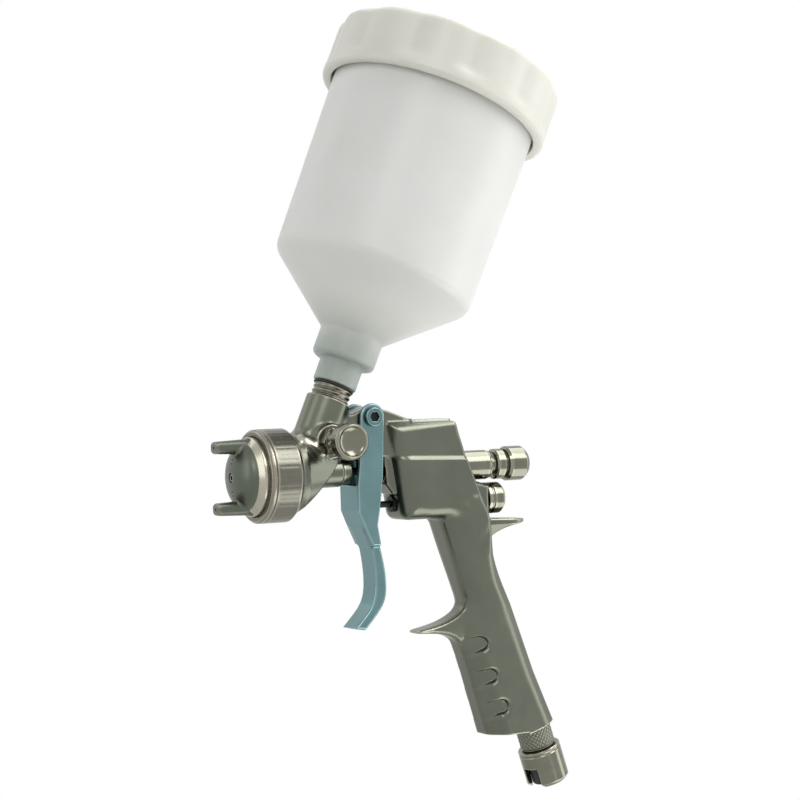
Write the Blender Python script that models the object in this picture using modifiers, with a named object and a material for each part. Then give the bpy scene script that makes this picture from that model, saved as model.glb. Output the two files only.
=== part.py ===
# Gravity-feed spray gun, in metres with +Z up.
# The nozzle points along -X and the gun's mid-plane is y = 0. Places in the side view are
# given as x, back from the foot of the trigger's pivot, and z, up from the needle's line.
# The origin is in the middle of the hand grip.

import bmesh
import bpy
from math import asin, cos, pi, radians, sin, tan
from mathutils import Matrix, Vector

mm = 0.001

# Fits
GAP = 0.3 * mm              # between pieces that seat on one another
PLAY = 0.2 * mm             # radial play of what slides or turns
MARGIN = 0.8 * mm           # left at the end of a stroke
OVERRUN = 4.0 * mm          # how far a cutter runs past the face it opens

# Hand grip, from the pivot's foot on the needle's line
GRIP_BACK = 62.0 * mm
GRIP_DROP = 72.0 * mm

# Trigger
PIVOT_X = 1.0 * mm
PIVOT_Z = 24.0 * mm
TRIGGER_TURN = radians(14.0)
EAR_R = 6.0 * mm
CHEEK_CLEAR = 0.4 * mm
CHEEK_T = 1.8 * mm
LEVER_HALF = 6.5 * mm
LEVER_ROUND = 1.2 * mm
WEB_X = -7.5 * mm           # front of the web that joins the cheeks
WEB_T = 2.0 * mm
WEB_TOP_Z = -6.0 * mm
BRIDGE_X = -2.6 * mm        # cross plate that pushes the needle's collar
BRIDGE_T = 2.2 * mm
BRIDGE_TOP_Z = 4.8 * mm
BRIDGE_LOW_Z = -9.0 * mm
BRIDGE_CLEAR = 0.7 * mm     # to the collar, as the plate tilts at the end of its stroke
NOTCH_CLEAR = 0.5 * mm
FOLD_Z = -17.5 * mm         # where the web turns back towards the lever
FOLD_MID = (2.2 * mm, -23.0 * mm)   # behind the web's front, at two heights down the fold
FOLD_END = (6.7 * mm, -33.0 * mm)
CHANNEL_LOW_Z = -26.5 * mm
CHEEK_FRONT = (-6.3 * mm, 3.0 * mm)
CHEEK_BACK = ((3.4 * mm, -33.0 * mm), (2.0 * mm, -24.0 * mm), (3.5 * mm, -16.0 * mm), (5.4 * mm, -3.0 * mm))
LEVER_FRONT = ((-4.6 * mm, -25.0 * mm), (-0.8 * mm, -33.0 * mm), (1.1 * mm, -48.0 * mm),
               (-0.9 * mm, -59.0 * mm), (-10.0 * mm, -69.2 * mm))
LEVER_BACK = ((-4.4 * mm, -70.2 * mm), (5.0 * mm, -59.0 * mm), (6.6 * mm, -48.0 * mm),
              (4.0 * mm, -33.0 * mm), (1.6 * mm, -27.0 * mm))

# Trigger pivot
STUD_R = 2.4 * mm
STUD_HEAD_R = 4.2 * mm
STUD_HEAD_T = 1.8 * mm
SCREW_R = 1.3 * mm
SCREW_LEN = 9.0 * mm
SOCKET_R = 2.4 * mm
SOCKET_DEEP = 1.2 * mm

# Casting
BODY_HALF = 12.5 * mm
BODY_ROUND = 2.2 * mm
CROWN_ROUND = 2.6 * mm      # the body's two top corners, seen from the side
TOE_ROUND = 4.5 * mm        # its lower front corner
CROOK = (39.5 * mm, 5.0 * mm)       # where its underside turns into the handle, and the radius
TAIL = (50.0 * mm, -36.0 * mm)      # its lowest point, inside the handle
BEAM_HALF = 6.8 * mm
BEAM_FLOOR_Z = 5.9 * mm
BEAM_FRONT_X = -33.0 * mm
BEAM_REAR = ((16.0 * mm, BEAM_FLOOR_Z), (22.0 * mm, 9.9 * mm), (22.0 * mm, 21.9 * mm), (10.0 * mm, 26.5 * mm))
BEAM_TOP = ((-8.0 * mm, 25.3 * mm), (-14.0 * mm, 24.5 * mm), (BEAM_FRONT_X, 18.0 * mm))
HUB_R = 5.0 * mm
BODY_TOP_Z = 20.8 * mm
PAD_Z = 22.2 * mm           # raised flat on the body's top
PAD_HALF = 8.0 * mm
PAD_X = (19.5 * mm, 41.5 * mm)
FRONT_TOP = (9.3 * mm, 20.8 * mm)
FRONT_LOW = (18.8 * mm, -22.8 * mm)
REAR_TOP_X = 42.7 * mm
REAR_STEP = (47.3 * mm, 4.0 * mm)
REAR_LOW = (58.8 * mm, -25.5 * mm)
HANDLE_HALF = 12.0 * mm
HANDLE_ROUND = 6.0 * mm
HEEL_Z = -123.4 * mm        # underside of the handle, ahead of the inlet's seat
HANDLE_BACK = ((55.0 * mm, -12.0 * mm), (60.2 * mm, -41.0 * mm), (70.0 * mm, -64.0 * mm),
               (81.2 * mm, -96.0 * mm))
HANDLE_FRONT = ((56.9 * mm, HEEL_Z), (45.4 * mm, -83.0 * mm), (49.4 * mm, -64.0 * mm),
                (40.8 * mm, -33.0 * mm),
                (36.0 * mm, -12.0 * mm))
PALM_ROUND = 40.0 * mm      # bends along the handle's back
FINGER_ROUND = 8.0 * mm     # bends along its front
HOOK_HALF = 6.5 * mm
HOOK_OVER = ((52.0 * mm, -58.0 * mm), (47.0 * mm, -64.5 * mm), (37.0 * mm, -70.0 * mm),
             (23.4 * mm, -73.0 * mm))
HOOK_UNDER = ((22.9 * mm, -74.4 * mm), (36.0 * mm, -75.8 * mm), (44.0 * mm, -80.0 * mm),
              (51.0 * mm, -90.0 * mm))
SPUR_HALF = 7.0 * mm
SPUR_OVER = ((52.0 * mm, -24.0 * mm), (81.6 * mm, -25.6 * mm))
SPUR_UNDER = ((82.2 * mm, -27.2 * mm), (71.0 * mm, -29.2 * mm), (63.8 * mm, -33.6 * mm),
              (61.4 * mm, -41.0 * mm),
              (56.0 * mm, -42.0 * mm))
BLADE_ROUND = 1.0 * mm      # edge round of the hook and the spur
HEAD_R = 18.3 * mm
HEAD_LAND = 3.0 * mm
HEAD_TAIL = (-14.0 * mm, 10.5 * mm)
UNDERCUT = ((-37.5 * mm, -16.5 * mm), (-20.0 * mm, 2.0 * mm))
STUB_R = 6.5 * mm
STUB_END_X = -12.5 * mm
BULGE_R = 5.5 * mm          # air gallery on the head's near side
BULGE_Y = -9.0 * mm
BULGE_Z = 10.5 * mm

# Air cap, ring and nozzle
SHOULDER_X = -38.2 * mm
SPIGOT_LEN = 5.8 * mm
SPIGOT_R = 17.0 * mm
RING_WALL = 1.2 * mm
RING_LIP = 1.6 * mm
RING_CHAMFER = 1.2 * mm
CAP_R = 17.3 * mm
FLANGE_OVER = 1.7 * mm      # the cap's flange over its body
FLANGE_T = 2.4 * mm
CAP_STANDOFF = 4.6 * mm     # from the head's face to the flange
CAP_SEAL_T = 0.8 * mm
CAP_RIM_LEN = 1.8 * mm      # the cap's body in front of the ring
CAP_CHAMFER = 2.0 * mm
FACE_R = 14.3 * mm
DOME_H = 6.8 * mm
CAP_WALL = 2.0 * mm
CAP_HOLE_R = 2.2 * mm
DOME_STEPS = 4
HORN_OFF = 13.2 * mm
HORN_T = 6.4 * mm
HORN_W = 8.0 * mm
HORN_LEN = 14.5 * mm        # from the cap's face to the tip
HORN_ROUND = 2.0 * mm
BAFFLE_T = 1.4 * mm
BAFFLE_R = 15.0 * mm
NOZZLE_R = 6.0 * mm
NOZZLE_THREAD = 8.0 * mm
NOZZLE_HEX_R = 9.0 * mm
NOZZLE_HEX_T = 3.5 * mm
NOZZLE_CONE_OVER = 0.3 * mm # the cone's foot over the thread
NOZZLE_TIP_R = 1.7 * mm
NOZZLE_TIP_BACK = 0.4 * mm  # behind the cap's face
NOZZLE_ORIFICE_R = 1.0 * mm
NOZZLE_ORIFICE_LEN = 1.8 * mm
NOZZLE_TAPER = 3.5 * mm
NOZZLE_BORE_R = 2.6 * mm

# Needle's line
NEEDLE_R = 1.75 * mm
TIP_TAPER = 3.3 * mm
TIP_R = 0.5 * mm
FLUID_BORE_R = 3.2 * mm
PACKING_X = -24.0 * mm
PACKING_LEN = 2.7 * mm
GLAND_BORE_R = 4.8 * mm
NUT_HEAD_R = 5.5 * mm
NUT_HEAD_LEN = 4.2 * mm
COLLAR_R = 5.0 * mm
COLLAR_LEN = 5.0 * mm
LOCK_NUT_R = 4.2 * mm
LOCK_NUT_LEN = 2.5 * mm
CHAMBER_X = 26.0 * mm
CHAMBER_R = 5.2 * mm
NEEDLE_SHOULDER_CLEAR = 0.7 * mm
NEEDLE_SHOULDER_T = 2.0 * mm
GUIDE_X = 43.0 * mm
GUIDE_LEN = 21.0 * mm
GUIDE_R = 6.8 * mm
GUIDE_WALL = 2.1 * mm
PAD_IN = 2.7 * mm           # the stop pad, inside the guide's front end
PAD_T = 1.5 * mm
KNOB_GAP = 2.8 * mm
KNOB_IN = 2.0 * mm          # how far the knob can be screwed in
KNOB_COLLAR_OVER = 0.2 * mm # the collar over the guide
KNOB_COLLAR_LEN = 4.7 * mm
KNOB_GROOVE_R = 5.8 * mm
KNOB_GROOVE_LEN = 1.5 * mm
KNOB_R = 8.0 * mm
KNOB_LEN = 11.0 * mm
KNOB_CHAMFER = 1.2 * mm
NEEDLE_COIL_R = 3.5 * mm
NEEDLE_WIRE_R = 0.5 * mm
NEEDLE_COILS = 5

# Air valve's line
LINE_CLEAR = 0.2 * mm       # between the fluid knob and the plug under it
STEM_R = 1.5 * mm
STEM_GLAND_R = 2.8 * mm
STEM_GLAND_HEAD_R = 3.8 * mm
STEM_GLAND_HEAD_LEN = 2.6 * mm
STEM_PACKING_LEN = 2.0 * mm
VALVE_CHAMBER_X = 27.6 * mm
VALVE_CHAMBER_R = 6.0 * mm
SEAT_T = 4.0 * mm
SEAT_BORE_R = 3.3 * mm
DISC_T = 0.8 * mm
POPPET_R = 4.9 * mm
POPPET_T = 2.6 * mm
STEM_TAIL = 4.0 * mm
PLUG_PROUD = 4.3 * mm       # from the casting to the plug's head
PLUG_HEAD_OVER = 1.2 * mm   # the head over the chamber's bore
PLUG_HEAD_LEN = 8.8 * mm
PLUG_FLOOR = 13.0 * mm
PLUG_BORE_R = 4.5 * mm
PLUG_SKIRT_T = 0.6 * mm     # thin enough to leave the air a way past it
PLUG_THREAD = 4.6 * mm
VALVE_COIL_R = 3.5 * mm
VALVE_WIRE_R = 0.55 * mm
VALVE_COILS = 6

# Fan valve, out from the mid-plane on the near side
FAN_X = -21.3 * mm
FAN_Z = 14.0 * mm
FAN_BOSS_R = 7.5 * mm
FAN_BOSS_OUT = 13.0 * mm
FAN_BORE_R = 4.8 * mm
FAN_BORE_IN = 5.5 * mm      # the bore's floor
FAN_HEX_R = 6.6 * mm
FAN_HEX_T = 4.2 * mm
FAN_NECK_R = 5.4 * mm
FAN_NECK_LEN = 4.5 * mm
FAN_NEEDLE_R = 2.7 * mm
FAN_NEEDLE_TIP = 2.5 * mm
FAN_RING_R = 4.2 * mm
FAN_RING_T = 1.6 * mm
FAN_IN = 0.6 * mm           # how far the knob can be screwed in
FAN_KNOB_R = 8.0 * mm
FAN_KNOB_LEN = 7.4 * mm
FAN_KNOB_DISH = 1.0 * mm
FAN_SOCKET = 4.4 * mm       # how deep the needle sits in the knob
FAN_KNOB_ROUND = 1.4 * mm

# Cup, along its leaning axis from the boss's mouth
CUP_LEAN = radians(24.0)
CUP_X = -15.95 * mm
CUP_Z = 32.0 * mm
BOSS_R = 10.0 * mm
BOSS_LEN = 29.0 * mm
CUP_BORE_R = 3.5 * mm
ADAPTER_R = 6.5 * mm
ADAPTER_DEEP = 13.0 * mm
ADAPTER_COLLAR_R = 8.7 * mm
ADAPTER_COLLAR_LEN = 5.2 * mm
ADAPTER_TOP_R = 7.2 * mm
ADAPTER_TOP_LEN = 15.6 * mm
ADAPTER_BORE_R = 4.8 * mm
CUP_GASKET_T = 0.9 * mm
CUP_WALL = 1.8 * mm
CUP_NECK_R = 9.8 * mm
CUP_NECK_LEN = 11.0 * mm
CUP_SOCKET_R = 14.3 * mm
CUP_SOCKET_LEN = 12.8 * mm
CUP_CONE_LEN = 27.5 * mm
CUP_SHOULDER_R = 45.5 * mm
CUP_SHOULDER_ROUND = 3.6 * mm
CUP_SHOULDER_IN = 0.9 * mm
CUP_BODY_LEN = 103.0 * mm
CUP_FLARE = 2.4 * mm        # the rim over the shoulder
STRAINER_WALL = 0.8 * mm
STRAINER_LEN = 13.0 * mm
STRAINER_RIM_T = 1.0 * mm
LID_SEAL_T = 2.6 * mm
LID_SEAL_W = 5.5 * mm
LID_WALL = 4.3 * mm
LID_LOBES = 12
LID_LOBE_DEEP = 1.6 * mm
LID_H = 26.8 * mm
LID_TOP_T = 3.0 * mm
LID_ROUND = 2.6 * mm
VENT_R = 3.0 * mm
VENT_HEAD_R = 5.0 * mm
VENT_HEAD_T = 1.6 * mm

# Inlet, down along the handle from its seat
HANDLE_LEAN = radians(17.0)
INLET_X = 85.0 * mm
INLET_Z = -125.0 * mm
SEAT_HALF = 9.0 * mm
AIRWAY_R = 3.5 * mm
AIRWAY_X = 42.0 * mm        # where it opens into the air valve's chamber
NIPPLE_R = 5.5 * mm
NIPPLE_DEEP = 9.0 * mm
NIPPLE_COLLAR_R = 8.2 * mm
NIPPLE_COLLAR_LEN = 7.0 * mm
NIPPLE_SPIGOT_R = 7.2 * mm
NIPPLE_SPIGOT_LEN = 6.0 * mm
SLEEVE_WALL = 2.5 * mm
SLEEVE_LEN = 17.5 * mm
SLEEVE_ROUND = 1.5 * mm
SLEEVE_CUT_W = 8.5 * mm
SLEEVE_CUT_TURN = radians(12.0)     # from straight ahead towards the near side
SLEEVE_CUT_LEN = 9.5 * mm
SEAL_SHORT = 0.8 * mm       # the seal ends inside the sleeve
SEAL_BORE_R = 4.0 * mm

# Facets
FINE = 36
ROUND = 20
SMALL = 14

# The air valve's line, and the strokes that other sizes have to clear
plug_head_r = VALVE_CHAMBER_R + PLUG_HEAD_OVER
valve_z = -KNOB_R - plug_head_r - LINE_CLEAR
needle_travel = PIVOT_Z * TRIGGER_TURN
valve_travel = (PIVOT_Z - valve_z) * TRIGGER_TURN

for old in list(bpy.data.objects):
    bpy.data.objects.remove(old, do_unlink=True)
parts = bpy.data.collections.new("spray_gun")
tools = bpy.data.collections.new("spray_gun_cutters")
bpy.context.scene.collection.children.link(parts)
bpy.context.scene.collection.children.link(tools)


def at(x, y, z):
    return Vector((x - GRIP_BACK, y, z + GRIP_DROP))


def line(place, axis):
    turn = Vector(axis).to_track_quat("Z", "Y")
    return Matrix.Translation(place) @ turn.to_matrix().to_4x4()


def side(x=0.0, z=0.0):
    return Matrix.Translation(at(x, 0, z)) @ Matrix.Rotation(pi / 2, 4, "X")


needle_line = line(at(0, 0, 0), (1, 0, 0))
valve_line = line(at(0, 0, valve_z), (1, 0, 0))
fan_line = line(at(FAN_X, 0, FAN_Z), (0, -1, 0))
pivot_line = line(at(PIVOT_X, 0, PIVOT_Z), (0, -1, 0))
cup_line = line(at(CUP_X, 0, CUP_Z), (sin(CUP_LEAN), 0, cos(CUP_LEAN)))
inlet_down = Vector((sin(HANDLE_LEAN), 0, -cos(HANDLE_LEAN)))
inlet_line = line(at(INLET_X, 0, INLET_Z), inlet_down)


def material(name, colour, metallic, roughness):
    made = bpy.data.materials.new(name)
    made.use_nodes = True
    shader = made.node_tree.nodes["Principled BSDF"]
    shader.inputs["Base Color"].default_value = (*colour, 1.0)
    shader.inputs["Metallic"].default_value = metallic
    shader.inputs["Roughness"].default_value = roughness
    return made


nickel = material("cast_nickel", (0.33, 0.33, 0.29), 1.0, 0.35)
bright = material("bright_nickel", (0.55, 0.53, 0.48), 1.0, 0.2)
steel = material("steel", (0.45, 0.45, 0.45), 1.0, 0.3)
brass = material("brass", (0.6, 0.45, 0.2), 1.0, 0.3)
blue = material("blue_metal", (0.16, 0.3, 0.35), 1.0, 0.35)
milky = material("milky_plastic", (0.75, 0.75, 0.72), 0.0, 0.4)
white = material("white_plastic", (0.85, 0.85, 0.83), 0.0, 0.4)
black = material("black_rubber", (0.02, 0.02, 0.02), 0.0, 0.6)


def add(name, data, place, look):
    made = bpy.data.objects.new(name, data)
    made.matrix_world = place
    if look:
        data.materials.append(look)
    parts.objects.link(made)
    return made


def combine(target, tool, operation):
    step = target.modifiers.new(tool.name, "BOOLEAN")
    step.object = tool
    step.operation = operation
    parts.objects.unlink(tool)
    tools.objects.link(tool)
    tool.hide_render = True
    tool.display_type = "WIRE"


def cut(target, *cutters):
    for tool in cutters:
        combine(target, tool, "DIFFERENCE")


def join(target, *pieces):
    for tool in pieces:
        combine(target, tool, "UNION")


def soften(made, width, segments=2):
    step = made.modifiers.new("rounded_edges", "BEVEL")
    step.width = width
    step.segments = segments
    step.limit_method = "ANGLE"
    step.angle_limit = radians(50)
    return made


# Corners (x, z, radius) become a polygon with its corners rounded
def rounded(corners, step=radians(20)):
    points = []
    for i, (x, z, radius) in enumerate(corners):
        here = Vector((x, z))
        back = (Vector(corners[i - 1][:2]) - here).normalized()
        ahead = (Vector(corners[(i + 1) % len(corners)][:2]) - here).normalized()
        if radius == 0:
            points.append(here)
            continue
        half = back.angle(ahead) / 2
        centre = here + (back + ahead).normalized() * radius / sin(half)
        first = here + back * radius / tan(half) - centre
        last = here + ahead * radius / tan(half) - centre
        count = max(2, round((pi - 2 * half) / step))
        for k in range(count + 1):
            points.append(centre + first.lerp(last, k / count).normalized() * radius)
    return points


# A smooth open curve through the points
def smooth(points, per_span=3):
    ends = [points[0], *points, points[-1]]
    curve = []
    for a, b, c, d in zip(ends, ends[1:], ends[2:], ends[3:]):
        for k in range(per_span):
            t = k / per_span
            curve.append(tuple(
                0.5 * (2 * q + (r - p) * t + (2 * p - 5 * q + 4 * r - s) * t * t
                       + (3 * q - p - 3 * r + s) * t ** 3)
                for p, q, r, s in zip(a, b, c, d)))
    return curve + [points[-1]]


# A flat outline on a frame's XY plane, drawn out along its Z
def plate(name, frame, outline, low, high, look=None):
    curve = bpy.data.curves.new(name, "CURVE")
    curve.dimensions = "2D"
    curve.fill_mode = "BOTH"
    curve.extrude = (high - low) / 2
    spline = curve.splines.new("POLY")
    spline.points.add(len(outline) - 1)
    spline.use_cyclic_u = True
    for point, (x, y) in zip(spline.points, outline):
        point.co = (x, y, 0, 1)
    flat = bpy.data.objects.new(name, curve)
    flat.matrix_world = frame
    parts.objects.link(flat)
    graph = bpy.context.evaluated_depsgraph_get()
    mesh = bpy.data.meshes.new_from_object(flat.evaluated_get(graph))
    bpy.data.objects.remove(flat, do_unlink=True)
    work = bmesh.new()
    work.from_mesh(mesh)
    bmesh.ops.remove_doubles(work, verts=work.verts, dist=0.001 * mm)
    bmesh.ops.dissolve_limit(work, angle_limit=radians(0.5), verts=work.verts, edges=work.edges)
    bmesh.ops.translate(work, verts=work.verts, vec=(0, 0, (low + high) / 2))
    bmesh.ops.recalc_face_normals(work, faces=work.faces)
    work.to_mesh(mesh)
    work.free()
    return add(name, mesh, frame, look)


# A turned shape about a frame's Z. The profile's (along, radius) points go up the outside,
# then down the inside, and start and end on the axis or close on themselves.
def turned(name, frame, profile, steps, look=None):
    mesh = bpy.data.meshes.new(name)
    points = [(radius, 0, along) for along, radius in reversed(profile)]
    edges = [(i, i + 1) for i in range(len(points) - 1)]
    if profile[0][1] > 0:
        edges.append((len(points) - 1, 0))
    mesh.from_pydata(points, edges, [])
    made = add(name, mesh, frame, look)
    step = made.modifiers.new("turned", "SCREW")
    step.steps = steps
    step.render_steps = steps
    step.use_merge_vertices = True
    step.merge_threshold = 0.0001 * mm
    return made


def rod(name, frame, low, high, radius, steps, look=None):
    return turned(name, frame, [(low, 0), (low, radius), (high, radius), (high, 0)], steps, look)


def tube(name, frame, low, high, radius, bore, steps, look=None):
    return turned(name, frame, [(low, radius), (high, radius), (high, bore), (low, bore)], steps, look)


# A six-sided prism with a hole through it, by its corner radius
def hexagon(name, frame, low, high, radius, bore, look=None):
    return tube(name, frame, low, high, radius, bore / cos(pi / 6), 6, look)


def coil(name, frame, low, high, radius, wire, turns, look):
    per_turn = 7
    low, high = low + wire, high - wire
    curve = bpy.data.curves.new(name, "CURVE")
    curve.dimensions = "3D"
    curve.bevel_depth = wire
    curve.bevel_resolution = 2
    curve.use_fill_caps = True
    spline = curve.splines.new("POLY")
    count = turns * per_turn
    spline.points.add(count)
    for k, point in enumerate(spline.points):
        angle = 2 * pi * k / per_turn
        point.co = (radius * cos(angle), radius * sin(angle), low + (high - low) * k / count, 1)
    return add(name, curve, frame, look)


# The body's front and rear faces lean, and are read at a height
def front_x(z):
    share = (FRONT_TOP[1] - z) / (FRONT_TOP[1] - FRONT_LOW[1])
    return FRONT_TOP[0] + (FRONT_LOW[0] - FRONT_TOP[0]) * share


def rear_x(z):
    share = (REAR_STEP[1] - z) / (REAR_STEP[1] - REAR_LOW[1])
    return REAR_STEP[0] + (REAR_LOW[0] - REAR_STEP[0]) * share


# Stations along the needle's line, front to rear
head_face_x = SHOULDER_X - SPIGOT_LEN
flange_rear = head_face_x - CAP_STANDOFF
flange_front = flange_rear - FLANGE_T
seal_front = flange_front - GAP - CAP_SEAL_T
ring_front = seal_front - GAP - RING_LIP
ring_rear = SHOULDER_X - GAP
flange_r = CAP_R + FLANGE_OVER
ring_r = flange_r + GAP + RING_WALL
face_x = ring_front - CAP_RIM_LEN - CAP_CHAMFER
dome_x = face_x - DOME_H * cos(asin(CAP_HOLE_R / FACE_R))
baffle_front = head_face_x - GAP - BAFFLE_T
hex_rear = baffle_front - GAP
hex_front = hex_rear - NOZZLE_HEX_T
nozzle_rear = head_face_x + NOZZLE_THREAD
nozzle_tip = dome_x + NOZZLE_TIP_BACK
orifice_end = nozzle_tip + NOZZLE_ORIFICE_LEN
taper_end = orifice_end + NOZZLE_TAPER
packing_rear = PACKING_X + PACKING_LEN
bridge_rear = BRIDGE_X + BRIDGE_T
collar_front = bridge_rear + BRIDGE_CLEAR
lock_nut_front = collar_front + COLLAR_LEN + GAP
lock_nut_rear = lock_nut_front + LOCK_NUT_LEN
recess_rear = lock_nut_rear + needle_travel + MARGIN
shoulder_front = CHAMBER_X + MARGIN
shoulder_rear = shoulder_front + NEEDLE_SHOULDER_T
shoulder_r = CHAMBER_R - NEEDLE_SHOULDER_CLEAR
pad_front = GUIDE_X + PAD_IN
guide_rear = GUIDE_X + GUIDE_LEN
guide_bore_r = GUIDE_R - GUIDE_WALL
knob_front = guide_rear + KNOB_GAP
knob_collar_r = GUIDE_R + KNOB_COLLAR_OVER

# Stations along the air valve's line
cheek_in = BEAM_HALF + CHEEK_CLEAR
cheek_out = cheek_in + CHEEK_T
stem_front = WEB_X + WEB_T + GAP
stem_packing_front = VALVE_CHAMBER_X - GAP - STEM_PACKING_LEN
stem_gland_bore_r = STEM_GLAND_R + GAP
seat_front = VALVE_CHAMBER_X + GAP
disc_front = seat_front + SEAT_T + GAP
poppet_front = disc_front + DISC_T + GAP
poppet_rear = poppet_front + POPPET_T
plug_front = poppet_rear + valve_travel + MARGIN
plug_head = rear_x(valve_z - VALVE_CHAMBER_R) + PLUG_PROUD
plug_rear = plug_head + PLUG_HEAD_LEN
plug_floor_x = plug_rear - PLUG_FLOOR

# Stations out along the fan valve and up the cup
fan_hex_in = FAN_BOSS_OUT + GAP
fan_neck_end = fan_hex_in + FAN_HEX_T + FAN_NECK_LEN
fan_ring_in = fan_neck_end + GAP + FAN_IN
fan_knob_in = fan_ring_in + FAN_RING_T + GAP
fan_knob_floor = fan_knob_in + FAN_SOCKET
cup_drop = CUP_Z / cos(CUP_LEAN)
adapter_collar_top = GAP + ADAPTER_COLLAR_LEN
adapter_top = adapter_collar_top + ADAPTER_TOP_LEN
gasket_low = adapter_collar_top + GAP
neck_low = gasket_low + CUP_GASKET_T + GAP
socket_low = neck_low + CUP_NECK_LEN
cone_low = socket_low + CUP_SOCKET_LEN
cup_shoulder = cone_low + CUP_CONE_LEN
cup_top = cup_shoulder + CUP_BODY_LEN
lid_seal_low = cup_top + GAP
lid_under = lid_seal_low + LID_SEAL_T + GAP
lid_top = lid_under + LID_TOP_T
lid_low = lid_top - LID_H
cup_rim_r = CUP_SHOULDER_R + CUP_FLARE
lid_bore_r = cup_rim_r + 2 * GAP
lid_r = lid_bore_r + LID_WALL

# Stations down the inlet
nipple_top = at(INLET_X, 0, INLET_Z) - inlet_down * (NIPPLE_DEEP + GAP)
airway = at(AIRWAY_X, 0, valve_z) - nipple_top
airway_line = line(nipple_top, airway)
collar_low = GAP + NIPPLE_COLLAR_LEN
spigot_low = collar_low + NIPPLE_SPIGOT_LEN
sleeve_high = collar_low + GAP
sleeve_low = sleeve_high + SLEEVE_LEN
sleeve_bore_r = NIPPLE_SPIGOT_R + GAP
sleeve_r = sleeve_bore_r + SLEEVE_WALL


def make_head():
    head = turned("head", needle_line, [
        (head_face_x, 0), (head_face_x, SPIGOT_R), (SHOULDER_X, SPIGOT_R), (SHOULDER_X, HEAD_R),
        (SHOULDER_X + HEAD_LAND, HEAD_R), HEAD_TAIL, (HEAD_TAIL[0], 0)], ROUND)
    low, high = (Vector(end) for end in UNDERCUT)
    run = (high - low).normalized()
    reach = 2 * HEAD_R
    drop = Vector((run.y, -run.x)) * reach
    corners = [low - run * reach, high + run * reach, high + run * reach + drop, low - run * reach + drop]
    cut(head, plate("undercut", side(), corners, -reach, reach))
    return head


def make_block():
    block = plate("gun_body", side(), rounded([
        (*FRONT_TOP, CROWN_ROUND), (REAR_TOP_X, BODY_TOP_Z, CROWN_ROUND), (*REAR_STEP, 0), (*REAR_LOW, 0),
        (*TAIL, 0), (CROOK[0], FRONT_LOW[1], CROOK[1]), (*FRONT_LOW, TOE_ROUND)]),
        -BODY_HALF, BODY_HALF, nickel)
    return soften(block, BODY_ROUND)


# The handle is drawn past its foot, so that the foot is cut square across its rounded edges
def make_handle():
    across = Vector((cos(HANDLE_LEAN), sin(HANDLE_LEAN)))
    drop = Vector((inlet_down.x, inlet_down.z)) * HANDLE_HALF
    seat = Vector((INLET_X, INLET_Z))
    seat_front = seat - across * SEAT_HALF
    seat_back = seat + across * SEAT_HALF
    foot = Vector(HANDLE_FRONT[0])
    toe = foot + (foot - Vector(HANDLE_FRONT[1])).normalized() * HANDLE_HALF
    back_top, *back = HANDLE_BACK
    *front, front_top = HANDLE_FRONT[1:]
    handle = plate("handle", side(), rounded([
        (*back_top, 0), *((x, z, PALM_ROUND) for x, z in back), (*(seat_back + drop), 0), (*toe, 0),
        *((x, z, FINGER_ROUND) for x, z in front), (*front_top, 0)]), -HANDLE_HALF, HANDLE_HALF)
    soften(handle, HANDLE_ROUND, 3)
    far_back = seat_back + across * SEAT_HALF
    near_front = foot.x - HANDLE_HALF
    cut(handle, plate("foot_cut", side(), [
        (near_front, HEEL_Z), (seat_front.x - GAP, HEEL_Z), seat_front, far_back, far_back + 2 * drop,
        (near_front, HEEL_Z - 2 * HANDLE_HALF)], -HANDLE_HALF - OVERRUN, HANDLE_HALF + OVERRUN))
    return handle


def make_hook():
    outline = smooth(HOOK_OVER) + smooth(HOOK_UNDER)
    return soften(plate("finger_hook", side(), outline, -HOOK_HALF, HOOK_HALF), BLADE_ROUND, 1)


def make_spur():
    outline = [*SPUR_OVER, *smooth(SPUR_UNDER)]
    return soften(plate("rear_spur", side(), outline, -SPUR_HALF, SPUR_HALF), BLADE_ROUND, 1)


def make_beam():
    hub = [(PIVOT_X + HUB_R * cos(a), PIVOT_Z + HUB_R * sin(a))
           for a in (radians(30 * k) for k in range(1, 6))]
    outline = [(BEAM_FRONT_X, BEAM_FLOOR_Z), *BEAM_REAR, *hub, *BEAM_TOP]
    return plate("beam", side(), outline, -BEAM_HALF, BEAM_HALF)


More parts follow.
